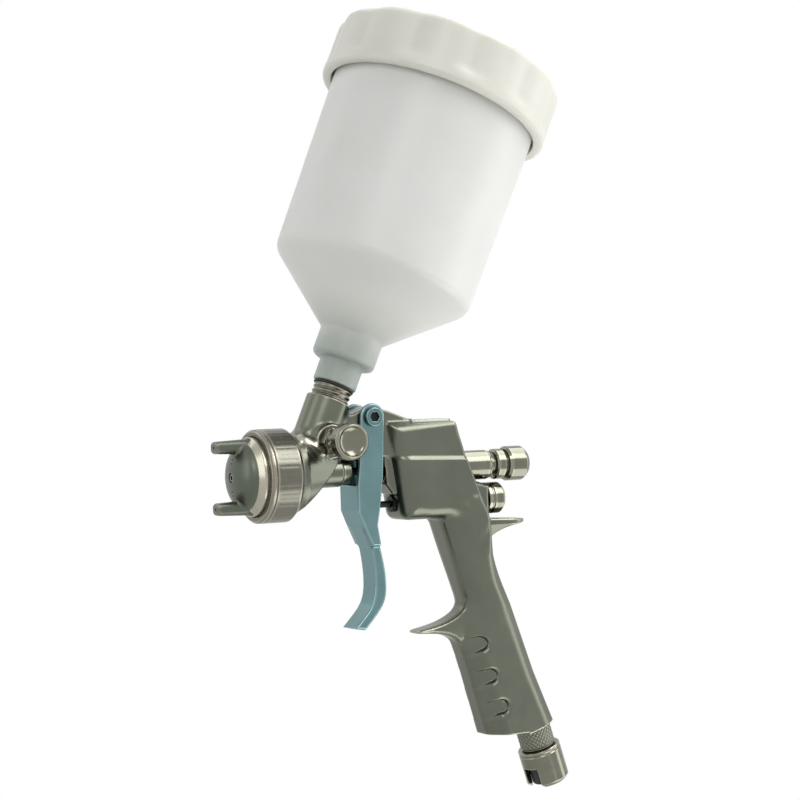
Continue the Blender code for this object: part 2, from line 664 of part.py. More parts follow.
def make_gun_body():
    body = make_block()
    pad = plate("top_pad", side(), [
        (PAD_X[0], BODY_TOP_Z - OVERRUN), (PAD_X[1], BODY_TOP_Z - OVERRUN),
        (PAD_X[1] - MARGIN, PAD_Z), (PAD_X[0], PAD_Z)], -PAD_HALF, PAD_HALF)
    bulge_line = line(at(0, BULGE_Y, BULGE_Z), (1, 0, 0))
    join(body, make_handle(), make_beam(), make_head(), pad, make_hook(), make_spur(),
         rod("cup_boss", cup_line, -BOSS_LEN, 0, BOSS_R, ROUND),
         rod("fan_boss", fan_line, 0, FAN_BOSS_OUT, FAN_BOSS_R, SMALL),
         rod("air_bulge", bulge_line, SHOULDER_X, FAN_X - FAN_HEX_R - MARGIN, BULGE_R, SMALL),
         rod("packing_stub", needle_line, head_face_x + OVERRUN, STUB_END_X, STUB_R, SMALL))
    front = front_x(0) - OVERRUN
    rear = REAR_LOW[0] + OVERRUN
    stem_mouth = front_x(valve_z) - OVERRUN
    cut(body,
        turned("fluid_bore", needle_line, [
            (head_face_x - OVERRUN, 0), (head_face_x - OVERRUN, NOZZLE_R + GAP),
            (nozzle_rear + GAP, NOZZLE_R + GAP),
            (nozzle_rear + GAP, FLUID_BORE_R), (PACKING_X - GAP, FLUID_BORE_R),
            (PACKING_X - GAP, GLAND_BORE_R),
            (STUB_END_X + OVERRUN, GLAND_BORE_R), (STUB_END_X + OVERRUN, 0)], SMALL),
        turned("cup_bore", cup_line, [
            (-cup_drop, 0), (-cup_drop, CUP_BORE_R), (-ADAPTER_DEEP - GAP, CUP_BORE_R),
            (-ADAPTER_DEEP - GAP, ADAPTER_R + GAP), (OVERRUN, ADAPTER_R + GAP), (OVERRUN, 0)], SMALL),
        turned("needle_bore", needle_line, [
            (front, 0), (front, COLLAR_R + MARGIN), (recess_rear, COLLAR_R + MARGIN),
            (recess_rear, NEEDLE_R + PLAY), (CHAMBER_X, NEEDLE_R + PLAY), (CHAMBER_X, CHAMBER_R),
            (GUIDE_X - GAP, CHAMBER_R), (GUIDE_X - GAP, GUIDE_R + GAP), (rear, GUIDE_R + GAP),
            (rear, 0)], SMALL),
        turned("valve_bore", valve_line, [
            (stem_mouth, 0), (stem_mouth, stem_gland_bore_r), (VALVE_CHAMBER_X, stem_gland_bore_r),
            (VALVE_CHAMBER_X, VALVE_CHAMBER_R), (rear, VALVE_CHAMBER_R), (rear, 0)], SMALL),
        rod("fan_bore", fan_line, FAN_BORE_IN, FAN_BOSS_OUT + OVERRUN, FAN_BORE_R, SMALL),
        rod("pivot_bore", pivot_line, -cheek_out, cheek_out, STUD_R + PLAY, SMALL),
        rod("nipple_bore", inlet_line, -NIPPLE_DEEP - GAP, OVERRUN, NIPPLE_R + GAP, SMALL),
        rod("airway", airway_line, -MARGIN, airway.length, AIRWAY_R, SMALL))


def make_air_cap():
    hole = asin(CAP_HOLE_R / FACE_R)
    rise = [hole + (pi / 2 - hole) * k / DOME_STEPS for k in range(DOME_STEPS + 1)]
    cap = turned("air_cap", needle_line, [
        *((face_x - DOME_H * cos(a), FACE_R * sin(a)) for a in rise), (face_x + CAP_CHAMFER, CAP_R),
        (flange_front, CAP_R), (flange_front, flange_r),
        (flange_rear, flange_r), (flange_rear, CAP_R - CAP_WALL), (ring_front, CAP_R - CAP_WALL),
        (face_x + CAP_WALL, FACE_R - CAP_WALL), (dome_x + CAP_WALL, CAP_HOLE_R)], ROUND, bright)
    tip_x = face_x - HORN_LEN
    root_x = face_x + 0.5 * CAP_CHAMFER
    for number, way in enumerate((1, -1)):
        low = way * (HORN_OFF - HORN_T / 2)
        high = way * (HORN_OFF + HORN_T / 2)
        horn = plate(f"horn_{number}", side(), [
            (root_x, low), (root_x, high), (tip_x + HORN_ROUND, high), (tip_x, way * (HORN_OFF + HORN_T / 4)),
            (tip_x, way * HORN_OFF), (tip_x + HORN_ROUND, low)], -HORN_W / 2, HORN_W / 2)
        join(cap, soften(horn, HORN_ROUND))


def make_air_cap_ring():
    thread_front = head_face_x - GAP
    turned("air_cap_ring", needle_line, [
        (ring_front, ring_r - RING_CHAMFER), (ring_front + RING_CHAMFER, ring_r),
        (ring_rear - RING_CHAMFER, ring_r),
        (ring_rear, ring_r - RING_CHAMFER), (ring_rear, SPIGOT_R + GAP), (thread_front, SPIGOT_R + GAP),
        (thread_front, flange_r + GAP), (ring_front + RING_LIP, flange_r + GAP),
        (ring_front + RING_LIP, CAP_R + GAP),
        (ring_front, CAP_R + GAP)], ROUND, bright)
    tube("cap_seal", needle_line, seal_front, seal_front + CAP_SEAL_T, flange_r, CAP_R + GAP, ROUND, white)


def make_nozzle():
    cone_r = NOZZLE_R + NOZZLE_CONE_OVER
    nozzle = turned("fluid_nozzle", needle_line, [
        (nozzle_tip, NOZZLE_TIP_R), (orifice_end, NOZZLE_TIP_R), (hex_front, cone_r),
        (hex_rear, cone_r), (hex_rear, NOZZLE_R), (nozzle_rear, NOZZLE_R), (nozzle_rear, NOZZLE_BORE_R),
        (taper_end, NOZZLE_BORE_R), (orifice_end, NOZZLE_ORIFICE_R),
        (nozzle_tip, NOZZLE_ORIFICE_R)], SMALL, steel)
    join(nozzle, hexagon("nozzle_hex", needle_line, hex_front, hex_rear, NOZZLE_HEX_R, NOZZLE_R - GAP))
    tube("air_baffle", needle_line, baffle_front, baffle_front + BAFFLE_T, BAFFLE_R, NOZZLE_R + GAP,
         SMALL, brass)


def make_needle():
    tail = pad_front - KNOB_IN - needle_travel - MARGIN
    taper_front = taper_end - TIP_TAPER - MARGIN
    turned("fluid_needle", needle_line, [
        (taper_front, 0), (taper_front, TIP_R), (taper_front + TIP_TAPER, NEEDLE_R),
        (shoulder_front, NEEDLE_R),
        (shoulder_front, shoulder_r), (shoulder_rear, shoulder_r), (shoulder_rear, NEEDLE_R),
        (tail, NEEDLE_R), (tail, 0)], SMALL, steel)
    tube("needle_packing", needle_line, PACKING_X, packing_rear, GLAND_BORE_R - GAP, NEEDLE_R + PLAY,
         SMALL, white)
    nut_thread = packing_rear + GAP
    nut_head = STUB_END_X + GAP
    turned("packing_nut", needle_line, [
        (nut_thread, GLAND_BORE_R - GAP), (nut_head, GLAND_BORE_R - GAP), (nut_head, NUT_HEAD_R),
        (nut_head + NUT_HEAD_LEN, NUT_HEAD_R), (nut_head + NUT_HEAD_LEN, NEEDLE_R + PLAY),
        (nut_thread, NEEDLE_R + PLAY)], SMALL, bright)
    slope = (COLLAR_R - NEEDLE_R) * tan(TRIGGER_TURN)
    turned("needle_collar", needle_line, [
        (collar_front, NEEDLE_R + PLAY), (collar_front + slope, COLLAR_R),
        (collar_front + COLLAR_LEN, COLLAR_R),
        (collar_front + COLLAR_LEN, NEEDLE_R + PLAY)], SMALL, brass)
    hexagon("needle_lock_nut", needle_line, lock_nut_front, lock_nut_rear, LOCK_NUT_R, NEEDLE_R + PLAY, brass)
    coil("needle_spring", needle_line, shoulder_rear + GAP, pad_front - GAP, NEEDLE_COIL_R, NEEDLE_WIRE_R,
         NEEDLE_COILS, steel)


def make_fluid_stop():
    tube("needle_guide", needle_line, GUIDE_X, guide_rear, GUIDE_R, guide_bore_r, ROUND, bright)
    rod("stop_pad", needle_line, pad_front, pad_front + PAD_T, guide_bore_r - GAP, SMALL, steel)
    spindle = pad_front + PAD_T + GAP
    groove = knob_front + KNOB_COLLAR_LEN
    head = groove + KNOB_GROOVE_LEN
    rear = head + KNOB_LEN
    turned("fluid_knob", needle_line, [
        (spindle, 0), (spindle, guide_bore_r - GAP), (knob_front, guide_bore_r - GAP),
        (knob_front, knob_collar_r - KNOB_CHAMFER), (knob_front + KNOB_CHAMFER, knob_collar_r),
        (groove, knob_collar_r), (groove, KNOB_GROOVE_R), (head, KNOB_GROOVE_R),
        (head, KNOB_R - KNOB_CHAMFER),
        (head + KNOB_CHAMFER, KNOB_R), (rear - KNOB_CHAMFER, KNOB_R), (rear, KNOB_R - KNOB_CHAMFER),
        (rear, 0)], ROUND, bright)


def make_air_valve():
    tail = poppet_rear + STEM_TAIL
    tip = [(stem_front + STEM_R * (1 - cos(a)), STEM_R * sin(a)) for a in (radians(30 * k) for k in range(4))]
    turned("air_valve_stem", valve_line, [
        *tip, (poppet_front, STEM_R), (poppet_front, POPPET_R), (poppet_rear, POPPET_R),
        (poppet_rear, STEM_R), (tail, STEM_R), (tail, 0)], SMALL, steel)
    gland_rear = stem_packing_front - GAP
    gland_seat = front_x(valve_z + STEM_GLAND_HEAD_R) - GAP
    gland_front = gland_seat - STEM_GLAND_HEAD_LEN
    turned("stem_gland", valve_line, [
        (gland_front, STEM_GLAND_HEAD_R), (gland_seat, STEM_GLAND_HEAD_R), (gland_seat, STEM_GLAND_R),
        (gland_rear, STEM_GLAND_R), (gland_rear, STEM_R + PLAY), (gland_front, STEM_R + PLAY)], SMALL, brass)
    tube("stem_packing", valve_line, stem_packing_front, stem_packing_front + STEM_PACKING_LEN, STEM_GLAND_R,
         STEM_R + PLAY, SMALL, white)
    tube("air_valve_seat", valve_line, seat_front, seat_front + SEAT_T, VALVE_CHAMBER_R - GAP, SEAT_BORE_R,
         SMALL, brass)
    tube("air_valve_disc", valve_line, disc_front, disc_front + DISC_T, POPPET_R, STEM_R + PLAY, SMALL, black)
    coil("air_valve_spring", valve_line, poppet_rear + GAP, plug_floor_x - GAP, VALVE_COIL_R, VALVE_WIRE_R,
         VALVE_COILS, steel)
    thread = plug_head - PLUG_THREAD
    skirt_r = PLUG_BORE_R + PLUG_SKIRT_T
    turned("air_valve_plug", valve_line, [
        (plug_front, PLUG_BORE_R), (plug_front, skirt_r), (thread, skirt_r), (thread, VALVE_CHAMBER_R - GAP),
        (plug_head, VALVE_CHAMBER_R - GAP), (plug_head, plug_head_r), (plug_rear - KNOB_CHAMFER, plug_head_r),
        (plug_rear, plug_head_r - KNOB_CHAMFER), (plug_rear, 0), (plug_floor_x, 0),
        (plug_floor_x, PLUG_BORE_R)], ROUND, bright)


def make_fan_valve():
    bushing = turned("fan_bushing", fan_line, [
        (FAN_BORE_IN + GAP, FAN_BORE_R - GAP), (fan_hex_in, FAN_BORE_R - GAP), (fan_hex_in, FAN_NECK_R),
        (fan_neck_end, FAN_NECK_R), (fan_neck_end, FAN_NEEDLE_R + PLAY),
        (FAN_BORE_IN + GAP, FAN_NEEDLE_R + PLAY)],
        SMALL, bright)
    join(bushing, hexagon("fan_hex", fan_line, fan_hex_in, fan_hex_in + FAN_HEX_T, FAN_HEX_R,
         FAN_NECK_R - GAP))
    tip = FAN_BORE_IN + GAP + FAN_IN
    turned("fan_needle", fan_line, [
        (tip, 0), (tip, FAN_NEEDLE_R / 2), (tip + FAN_NEEDLE_TIP, FAN_NEEDLE_R),
        (fan_knob_floor - GAP, FAN_NEEDLE_R),
        (fan_knob_floor - GAP, 0)], SMALL, steel)
    tube("fan_ring", fan_line, fan_ring_in, fan_ring_in + FAN_RING_T, FAN_RING_R, FAN_NEEDLE_R + PLAY,
         SMALL, black)
    out = fan_knob_in + FAN_KNOB_LEN
    turned("fan_knob", fan_line, [
        (fan_knob_in, FAN_NEEDLE_R + PLAY), (fan_knob_in, FAN_KNOB_R - FAN_KNOB_ROUND),
        (fan_knob_in + FAN_KNOB_ROUND, FAN_KNOB_R), (out - FAN_KNOB_ROUND, FAN_KNOB_R),
        (out, FAN_KNOB_R - FAN_KNOB_ROUND), (out - FAN_KNOB_DISH, FAN_KNOB_R - 2 * FAN_KNOB_ROUND),
        (out - FAN_KNOB_DISH, 0), (fan_knob_floor, 0), (fan_knob_floor, FAN_NEEDLE_R + PLAY)], ROUND, bright)


def make_trigger():
    def here(points):
        return [(x - PIVOT_X, z - PIVOT_Z) for x, z in points]

    frame = side(PIVOT_X, PIVOT_Z)
    ear = [(PIVOT_X + EAR_R * cos(a), PIVOT_Z + EAR_R * sin(a)) for a in (radians(20 * k) for k in range(10))]
    ahead = [CHEEK_FRONT, (WEB_X, WEB_TOP_Z), (WEB_X, FOLD_Z), (WEB_X + FOLD_MID[0], FOLD_MID[1]),
             (WEB_X + FOLD_END[0], FOLD_END[1])]
    trigger = plate("trigger", frame, here([*ear, *ahead, *CHEEK_BACK]), -cheek_out, cheek_out, blue)
    inside = WEB_X + WEB_T
    clear = EAR_R + OVERRUN
    hollow = plate("channel", frame, here([
        (PIVOT_X - 2 * clear, PIVOT_Z + clear), (PIVOT_X - 2 * clear, WEB_TOP_Z), (inside, WEB_TOP_Z),
        (inside, FOLD_Z), (inside + FOLD_MID[0], FOLD_MID[1]), (inside + FOLD_MID[0], CHANNEL_LOW_Z),
        (PIVOT_X + clear, CHANNEL_LOW_Z), (PIVOT_X + clear, PIVOT_Z + clear)]), -cheek_in, cheek_in)
    lever = plate("lever", frame, here(smooth(LEVER_FRONT) + smooth(LEVER_BACK)), -LEVER_HALF, LEVER_HALF)
    bridge = plate("bridge", frame, here([
        (BRIDGE_X, BRIDGE_LOW_Z), (bridge_rear, BRIDGE_LOW_Z), (bridge_rear, BRIDGE_TOP_Z),
        (BRIDGE_X, BRIDGE_TOP_Z)]), -cheek_in - GAP, cheek_in + GAP)
    notch_half = NEEDLE_R + NOTCH_CLEAR
    notch = plate("notch", frame, here([
        (BRIDGE_X - GAP, -notch_half), (bridge_rear + GAP, -notch_half),
        (bridge_rear + GAP, BRIDGE_TOP_Z + GAP), (BRIDGE_X - GAP, BRIDGE_TOP_Z + GAP)]),
        -notch_half, notch_half)
    cut(trigger, hollow)
    join(trigger, soften(lever, LEVER_ROUND), bridge)
    reach = cheek_out + OVERRUN
    cut(trigger, notch, rod("trigger_bore", pivot_line, -reach, reach, STUD_R + PLAY, SMALL))


def make_pivot():
    near = cheek_out - GAP
    head = cheek_out + GAP
    floor = near - SCREW_LEN - GAP
    turned("trigger_stud", pivot_line, [
        (-head - STUD_HEAD_T, 0), (-head - STUD_HEAD_T, STUD_HEAD_R), (-head, STUD_HEAD_R), (-head, STUD_R),
        (near, STUD_R), (near, SCREW_R + PLAY), (floor, SCREW_R + PLAY), (floor, 0)], SMALL, steel)
    screw = turned("trigger_screw", pivot_line, [
        (near - SCREW_LEN, 0), (near - SCREW_LEN, SCREW_R), (head, SCREW_R), (head, STUD_HEAD_R),
        (head + STUD_HEAD_T, STUD_HEAD_R), (head + STUD_HEAD_T, 0)], SMALL, steel)
    cut(screw, rod("hex_socket", pivot_line, head + STUD_HEAD_T - SOCKET_DEEP, head + OVERRUN, SOCKET_R, 6))


def make_cup():
    neck_bore = ADAPTER_TOP_R + GAP
    turned("cup_adapter", cup_line, [
        (-ADAPTER_DEEP, ADAPTER_R), (GAP, ADAPTER_R), (GAP, ADAPTER_COLLAR_R),
        (adapter_collar_top, ADAPTER_COLLAR_R),
        (adapter_collar_top, ADAPTER_TOP_R), (adapter_top, ADAPTER_TOP_R), (adapter_top, ADAPTER_BORE_R),
        (-ADAPTER_DEEP, ADAPTER_BORE_R)], ROUND, steel)
    tube("cup_gasket", cup_line, gasket_low, gasket_low + CUP_GASKET_T, CUP_NECK_R - GAP, neck_bore,
         ROUND, black)
    funnel = cone_low - CUP_WALL
    turned("paint_cup", cup_line, [
        (neck_low, CUP_NECK_R), (socket_low, CUP_NECK_R), (socket_low, CUP_SOCKET_R),
        (cone_low, CUP_SOCKET_R),
        (cup_shoulder - CUP_SHOULDER_ROUND, CUP_SHOULDER_R - CUP_SHOULDER_ROUND),
        (cup_shoulder, CUP_SHOULDER_R - CUP_SHOULDER_IN), (cup_shoulder + CUP_SHOULDER_ROUND, CUP_SHOULDER_R),
        (cup_top, cup_rim_r), (cup_top, cup_rim_r - CUP_WALL),
        (cup_shoulder + CUP_SHOULDER_ROUND, CUP_SHOULDER_R - CUP_WALL),
        (cup_shoulder + CUP_WALL, CUP_SHOULDER_R - CUP_SHOULDER_ROUND),
        (cone_low + CUP_WALL, CUP_SOCKET_R - CUP_WALL), (funnel, CUP_SOCKET_R - CUP_WALL),
        (funnel, neck_bore),
        (neck_low, neck_bore)], FINE, milky)
    rim = adapter_top + GAP
    deep = rim - STRAINER_LEN
    outside = ADAPTER_BORE_R - GAP
    inside = outside - STRAINER_WALL
    turned("paint_strainer", cup_line, [
        (deep, 0), (deep, outside), (rim, outside), (rim, ADAPTER_TOP_R),
        (rim + STRAINER_RIM_T, ADAPTER_TOP_R),
        (rim + STRAINER_RIM_T, inside), (deep + STRAINER_WALL, inside),
        (deep + STRAINER_WALL, 0)], SMALL, white)


def make_lid():
    seal_r = cup_rim_r - GAP
    tube("lid_seal", cup_line, lid_seal_low, lid_seal_low + LID_SEAL_T, seal_r, seal_r - LID_SEAL_W,
         FINE, white)
    outline = []
    per_lobe = 6
    count = LID_LOBES * per_lobe
    for k in range(count):
        angle = 2 * pi * k / count
        radius = lid_r - LID_LOBE_DEEP * (1 - abs(cos(LID_LOBES * angle / 2)))
        outline.append((radius * cos(angle), radius * sin(angle)))
    lid = plate("cup_lid", cup_line, outline, lid_low, lid_top, white)
    soften(lid, LID_ROUND, 3)
    cut(lid,
        turned("lid_inside", cup_line, [
            (lid_low - OVERRUN, 0), (lid_low - OVERRUN, lid_bore_r), (lid_under, lid_bore_r),
            (lid_under, 0)], FINE),
        turned("vent_hole", cup_line, [
            (lid_under - OVERRUN, 0), (lid_under - OVERRUN, VENT_R + PLAY),
            (lid_top - VENT_HEAD_T, VENT_R + PLAY),
            (lid_top - VENT_HEAD_T, VENT_HEAD_R + PLAY), (lid_top + OVERRUN, VENT_HEAD_R + PLAY),
            (lid_top + OVERRUN, 0)], SMALL))
    head = lid_top - VENT_HEAD_T + GAP
    turned("vent_plug", cup_line, [
        (lid_under, 0), (lid_under, VENT_R), (head, VENT_R), (head, VENT_HEAD_R), (lid_top, VENT_HEAD_R),
        (lid_top, 0)], SMALL, milky)


def make_inlet():
    turned("inlet_nipple", inlet_line, [
        (-NIPPLE_DEEP, NIPPLE_R), (GAP, NIPPLE_R), (GAP, NIPPLE_COLLAR_R), (collar_low, NIPPLE_COLLAR_R),
        (collar_low, NIPPLE_SPIGOT_R), (spigot_low, NIPPLE_SPIGOT_R), (spigot_low, AIRWAY_R),
        (-NIPPLE_DEEP, AIRWAY_R)], ROUND, bright)
    sleeve = turned("inlet_sleeve", inlet_line, [
        (sleeve_high, sleeve_r), (sleeve_low - SLEEVE_ROUND, sleeve_r), (sleeve_low, sleeve_r - SLEEVE_ROUND),
        (sleeve_low, sleeve_bore_r), (sleeve_high, sleeve_bore_r)], ROUND, bright)
    cut_out = (-cos(SLEEVE_CUT_TURN), -sin(SLEEVE_CUT_TURN), 0)
    window = line(at(INLET_X, 0, INLET_Z) + inlet_down * (sleeve_low - SLEEVE_CUT_LEN / 2), cut_out)
    half_w = SLEEVE_CUT_W / 2
    half_l = SLEEVE_CUT_LEN / 2
    cut(sleeve, plate("sleeve_cut", window, [
        (-half_w, -half_l - OVERRUN), (half_w, -half_l - OVERRUN), (half_w, half_l + OVERRUN),
        (-half_w, half_l + OVERRUN)], 0, sleeve_r + OVERRUN))
    tube("inlet_seal", inlet_line, spigot_low + GAP, sleeve_low - SEAL_SHORT, NIPPLE_SPIGOT_R,
         SEAL_BORE_R, SMALL, black)


make_gun_body()
make_nozzle()
make_air_cap()
make_air_cap_ring()
make_needle()
make_fluid_stop()
make_air_valve()
make_fan_valve()
make_trigger()
make_pivot()
make_cup()
make_lid()
make_inlet()

for made in parts.objects:
    if made.type == "MESH":
        made.data.shade_smooth()
        made.data.set_sharp_from_angle(angle=radians(40))
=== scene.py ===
from math import cos, pi, radians, sin, tan

import bmesh
import bpy
import numpy as np
from mathutils import Matrix, Vector
from mathutils.geometry import intersect_point_line


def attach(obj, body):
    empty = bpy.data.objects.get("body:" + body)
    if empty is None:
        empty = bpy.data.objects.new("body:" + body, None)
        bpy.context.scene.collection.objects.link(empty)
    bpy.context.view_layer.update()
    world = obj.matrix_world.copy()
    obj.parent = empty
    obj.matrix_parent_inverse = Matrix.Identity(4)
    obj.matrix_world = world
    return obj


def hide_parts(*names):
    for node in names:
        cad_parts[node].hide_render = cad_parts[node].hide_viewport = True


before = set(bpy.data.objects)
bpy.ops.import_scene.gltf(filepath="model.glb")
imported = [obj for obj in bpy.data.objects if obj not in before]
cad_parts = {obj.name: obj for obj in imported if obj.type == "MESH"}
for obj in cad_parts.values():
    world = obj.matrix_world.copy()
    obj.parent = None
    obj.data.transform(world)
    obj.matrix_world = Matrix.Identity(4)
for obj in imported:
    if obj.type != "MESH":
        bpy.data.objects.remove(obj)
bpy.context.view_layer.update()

mm = 0.001
print("frame loaded,", len(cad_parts), "nodes")


# the drawing's places in mm: x runs back along the needle's line, z up from it
grip = {"back": 62.0, "drop": 72.0}  # the frame's origin in that drawing, inside the handle
axes = {  # x and z where each piece's axis starts
    "valveZ": -15.4, "fan": (-21.3, 14.0), "pivot": (1.0, 24.0), "cup": (-15.95, 32.0),
    "inlet": (85.0, -125.0),
}


def gunPlace(x, z):
    return Vector(((x - grip["back"]) * mm, 0, (z + grip["drop"]) * mm))


def axisFrame(place, axis, ahead=(0, 1, 0)):
    up = Vector(axis).normalized()
    across = Vector(ahead).cross(up).normalized()
    turn = Matrix((across, up.cross(across), up)).transposed()
    return Matrix.Translation(place) @ turn.to_4x4()


cupLean, inletLean = radians(24.0), radians(17.0)
gunFrame = Matrix.Translation(gunPlace(0, 0))
needleFrame = axisFrame(gunPlace(0, 0), (1, 0, 0))
valveFrame = axisFrame(gunPlace(0, axes["valveZ"]), (1, 0, 0))
fanFrame = axisFrame(gunPlace(*axes["fan"]), (0, -1, 0), (1, 0, 0))
pivotFrame = axisFrame(gunPlace(*axes["pivot"]), (0, -1, 0), (1, 0, 0))
cupFrame = axisFrame(gunPlace(*axes["cup"]), (sin(cupLean), 0, cos(cupLean)))
inletFrame = axisFrame(gunPlace(*axes["inlet"]), (sin(inletLean), 0, -cos(inletLean)))


# finishes

def ink(code):  # sRGB hex to linear
    parts = [int(code[i:i + 2], 16) / 255 for i in (1, 3, 5)]
    return (*(c / 12.92 if c <= 0.04045 else ((c + 0.055) / 1.055) ** 2.4 for c in parts), 1.0)


def perMm(size):  # texture scale for a feature of that many millimetres
    return 1000.0 / size


def addNode(tree, kind, inputs=None, **settings):
    node = tree.nodes.new(kind)
    for key, value in settings.items():
        setattr(node, key, value)
    for key, value in (inputs or {}).items():
        if isinstance(value, bpy.types.NodeSocket):
            tree.links.new(value, node.inputs[key])
        else:
            node.inputs[key].default_value = value
    return node


def newFinish(name, **sockets):
    made = bpy.data.materials.new(name)
    made.use_nodes = True
    shader = made.node_tree.nodes["Principled BSDF"]
    for key, value in sockets.items():
        shader.inputs[key.replace("_", " ")].default_value = value
    return made, made.node_tree, shader


wavesPerUnit = 20  # a wave texture multiplies its place by this
midCloud = {"From Min": 0.3, "From Max": 0.7}  # where most of a noise texture's values lie


def metalFinish(name, look):  # grain is drawn coarser than its real 0.2 mm, so that it shows
    made, tree, shader = newFinish(name, Metallic=1.0)
    spot = addNode(tree, "ShaderNodeTexCoord").outputs["Object"]
    cloud = addNode(tree, "ShaderNodeTexNoise", {
        "Vector": spot, "Scale": perMm(look["cloudMm"]), "Detail": 4.0, "Roughness": 0.6})
    grain = addNode(tree, "ShaderNodeTexNoise", {
        "Vector": spot, "Scale": perMm(look["grainMm"]), "Detail": 2.0})
    tint = addNode(tree, "ShaderNodeMix", {
        "Factor": cloud.outputs["Fac"], "A": ink(look["dark"]), "B": ink(look["light"])}, data_type="RGBA")
    colour = tint.outputs["Result"]
    if look.get("rubbedSheen"):  # paler where the mesh bends outward: partly rubbed edge wear, partly a painted highlight along the edges
        edge = addNode(tree, "ShaderNodeMapRange", {
            "Value": addNode(tree, "ShaderNodeAttribute", attribute_name="rub_and_sheen").outputs["Fac"],
            "From Min": look["rubbedSheenFrom"][0], "From Max": look["rubbedSheenFrom"][1], "To Max": look["rubbedSheenMost"]})
        rubAndSheen = addNode(tree, "ShaderNodeMix", {
            "Factor": edge.outputs["Result"], "A": colour, "B": ink(look["rubbedSheen"])}, data_type="RGBA")
        colour = rubAndSheen.outputs["Result"]
    tree.links.new(colour, shader.inputs["Base Color"])
    rough = addNode(tree, "ShaderNodeMapRange", {
        "Value": cloud.outputs["Fac"], **midCloud, "To Min": look["rough"][0], "To Max": look["rough"][1]})
    tree.links.new(rough.outputs["Result"], shader.inputs["Roughness"])
    height = grain.outputs["Fac"]
    if look.get("turnMm"):  # the tool's rings along the axis, drawn coarser than their real 0.1 mm to show
        rings = addNode(tree, "ShaderNodeTexWave", {
            "Vector": spot, "Scale": perMm(look["turnMm"]) / wavesPerUnit, "Distortion": 0.4, "Detail": 1.0},
            wave_type="BANDS", bands_direction="Z")
        both = addNode(tree, "ShaderNodeMath", {0: height, 1: rings.outputs["Fac"]}, operation="ADD")
        height = both.outputs["Value"]
    bump = addNode(tree, "ShaderNodeBump", {
        "Height": height, "Strength": look["bump"], "Distance": look["bumpMm"] * mm})
    tree.links.new(bump.outputs["Normal"], shader.inputs["Normal"])
    return made


# nickel plate over a bead-blasted die casting: green-grey satin, cream along its edges, partly rubbed wear
# and partly a painted highlight
castNickel = metalFinish("castNickelSatin", {
    "dark": "#5E6157", "light": "#6C6F63", "rubbedSheen": "#B4AF9E", "rubbedSheenFrom": (0.13, 0.30), "rubbedSheenMost": 0.65,
    "cloudMm": 22.0, "grainMm": 0.7, "rough": (0.25, 0.33), "bump": 0.10, "bumpMm": 0.05})
# nickel plate over turned brass: brighter, with fine tool rings
turnedNickel = metalFinish("turnedNickelBright", {
    "dark": "#6A6C60", "light": "#7B7A6D", "rubbedSheen": "#C6BFAE", "rubbedSheenFrom": (0.10, 0.30), "rubbedSheenMost": 0.3,
    "cloudMm": 9.0, "grainMm": 0.5, "turnMm": 0.6, "rough": (0.13, 0.20), "bump": 0.05, "bumpMm": 0.04})
# nickel plate on the air cap, finer and darker than the casting
capNickel = metalFinish("airCapNickel", {
    "dark": "#565B52", "light": "#62675C", "rubbedSheen": "#ACA797", "rubbedSheenFrom": (0.10, 0.30), "rubbedSheenMost": 0.35,
    "cloudMm": 12.0, "grainMm": 0.5, "rough": (0.32, 0.42), "bump": 0.05, "bumpMm": 0.04})
# the same plate where the cap was turned after casting: nearly mirror-like, its pale base colour a painted
# highlight
paleNickelPaintedHighlight = metalFinish("paleNickelPaintedHighlight", {
    "dark": "#9C998B", "light": "#B0AD9E", "cloudMm": 6.0, "grainMm": 0.4, "rough": (0.16, 0.24),
    "bump": 0.04, "bumpMm": 0.03})
# plated brass of the screw ring: a warmer grey, brushed softer by handling
ringNickel = metalFinish("handledRingNickel", {
    "dark": "#63645A", "light": "#737067", "rubbedSheen": "#C8C0AF", "rubbedSheenFrom": (0.10, 0.30), "rubbedSheenMost": 0.35,
    "cloudMm": 9.0, "grainMm": 0.5, "rough": (0.24, 0.31), "bump": 0.06, "bumpMm": 0.04})
# anodised aluminium, grey blue-green and satin, silvery along the edges, partly where fingers rub and partly
# a painted highlight
anodisedTeal = metalFinish("anodisedTealAluminium", {
    "dark": "#607C7E", "light": "#6F8D8F", "rubbedSheen": "#ABC4C5", "rubbedSheenFrom": (0.10, 0.30), "rubbedSheenMost": 0.4,
    "cloudMm": 14.0, "grainMm": 0.6, "rough": (0.26, 0.36), "bump": 0.08, "bumpMm": 0.05})
# ground stainless steel for needle, stems and screws
groundSteel = metalFinish("groundStainlessSteel", {
    "dark": "#76787A", "light": "#88898A", "cloudMm": 6.0, "grainMm": 0.4, "turnMm": 0.5,
    "rough": (0.18, 0.28), "bump": 0.05, "bumpMm": 0.03})
# plated steel of the pivot screw, its teal tint a painted reflection of the lever round it
screwSteelLeverReflection = metalFinish("platedScrewSteelPaintedReflection", {
    "dark": "#556E70", "light": "#647E80", "rubbedSheen": "#9DB5B6", "rubbedSheenFrom": (0.10, 0.30), "rubbedSheenMost": 0.4,
    "cloudMm": 4.0, "grainMm": 0.4, "rough": (0.26, 0.36), "bump": 0.06, "bumpMm": 0.03})
# near-black steel of the gland and the valve stem; in the screw's socket it is painted shade
darkSteelAndPaintedShade = metalFinish("darkSteelWithPaintedShade", {
    "dark": "#1E2524", "light": "#2D3432", "cloudMm": 4.0, "grainMm": 0.4, "rough": (0.34, 0.44),
    "bump": 0.06, "bumpMm": 0.03})
# plain turned brass of the inner pieces
turnedBrass = metalFinish("turnedBrass", {
    "dark": "#A2824A", "light": "#B8975A", "cloudMm": 5.0, "grainMm": 0.4, "turnMm": 0.5,
    "rough": (0.2, 0.3), "bump": 0.05, "bumpMm": 0.03})


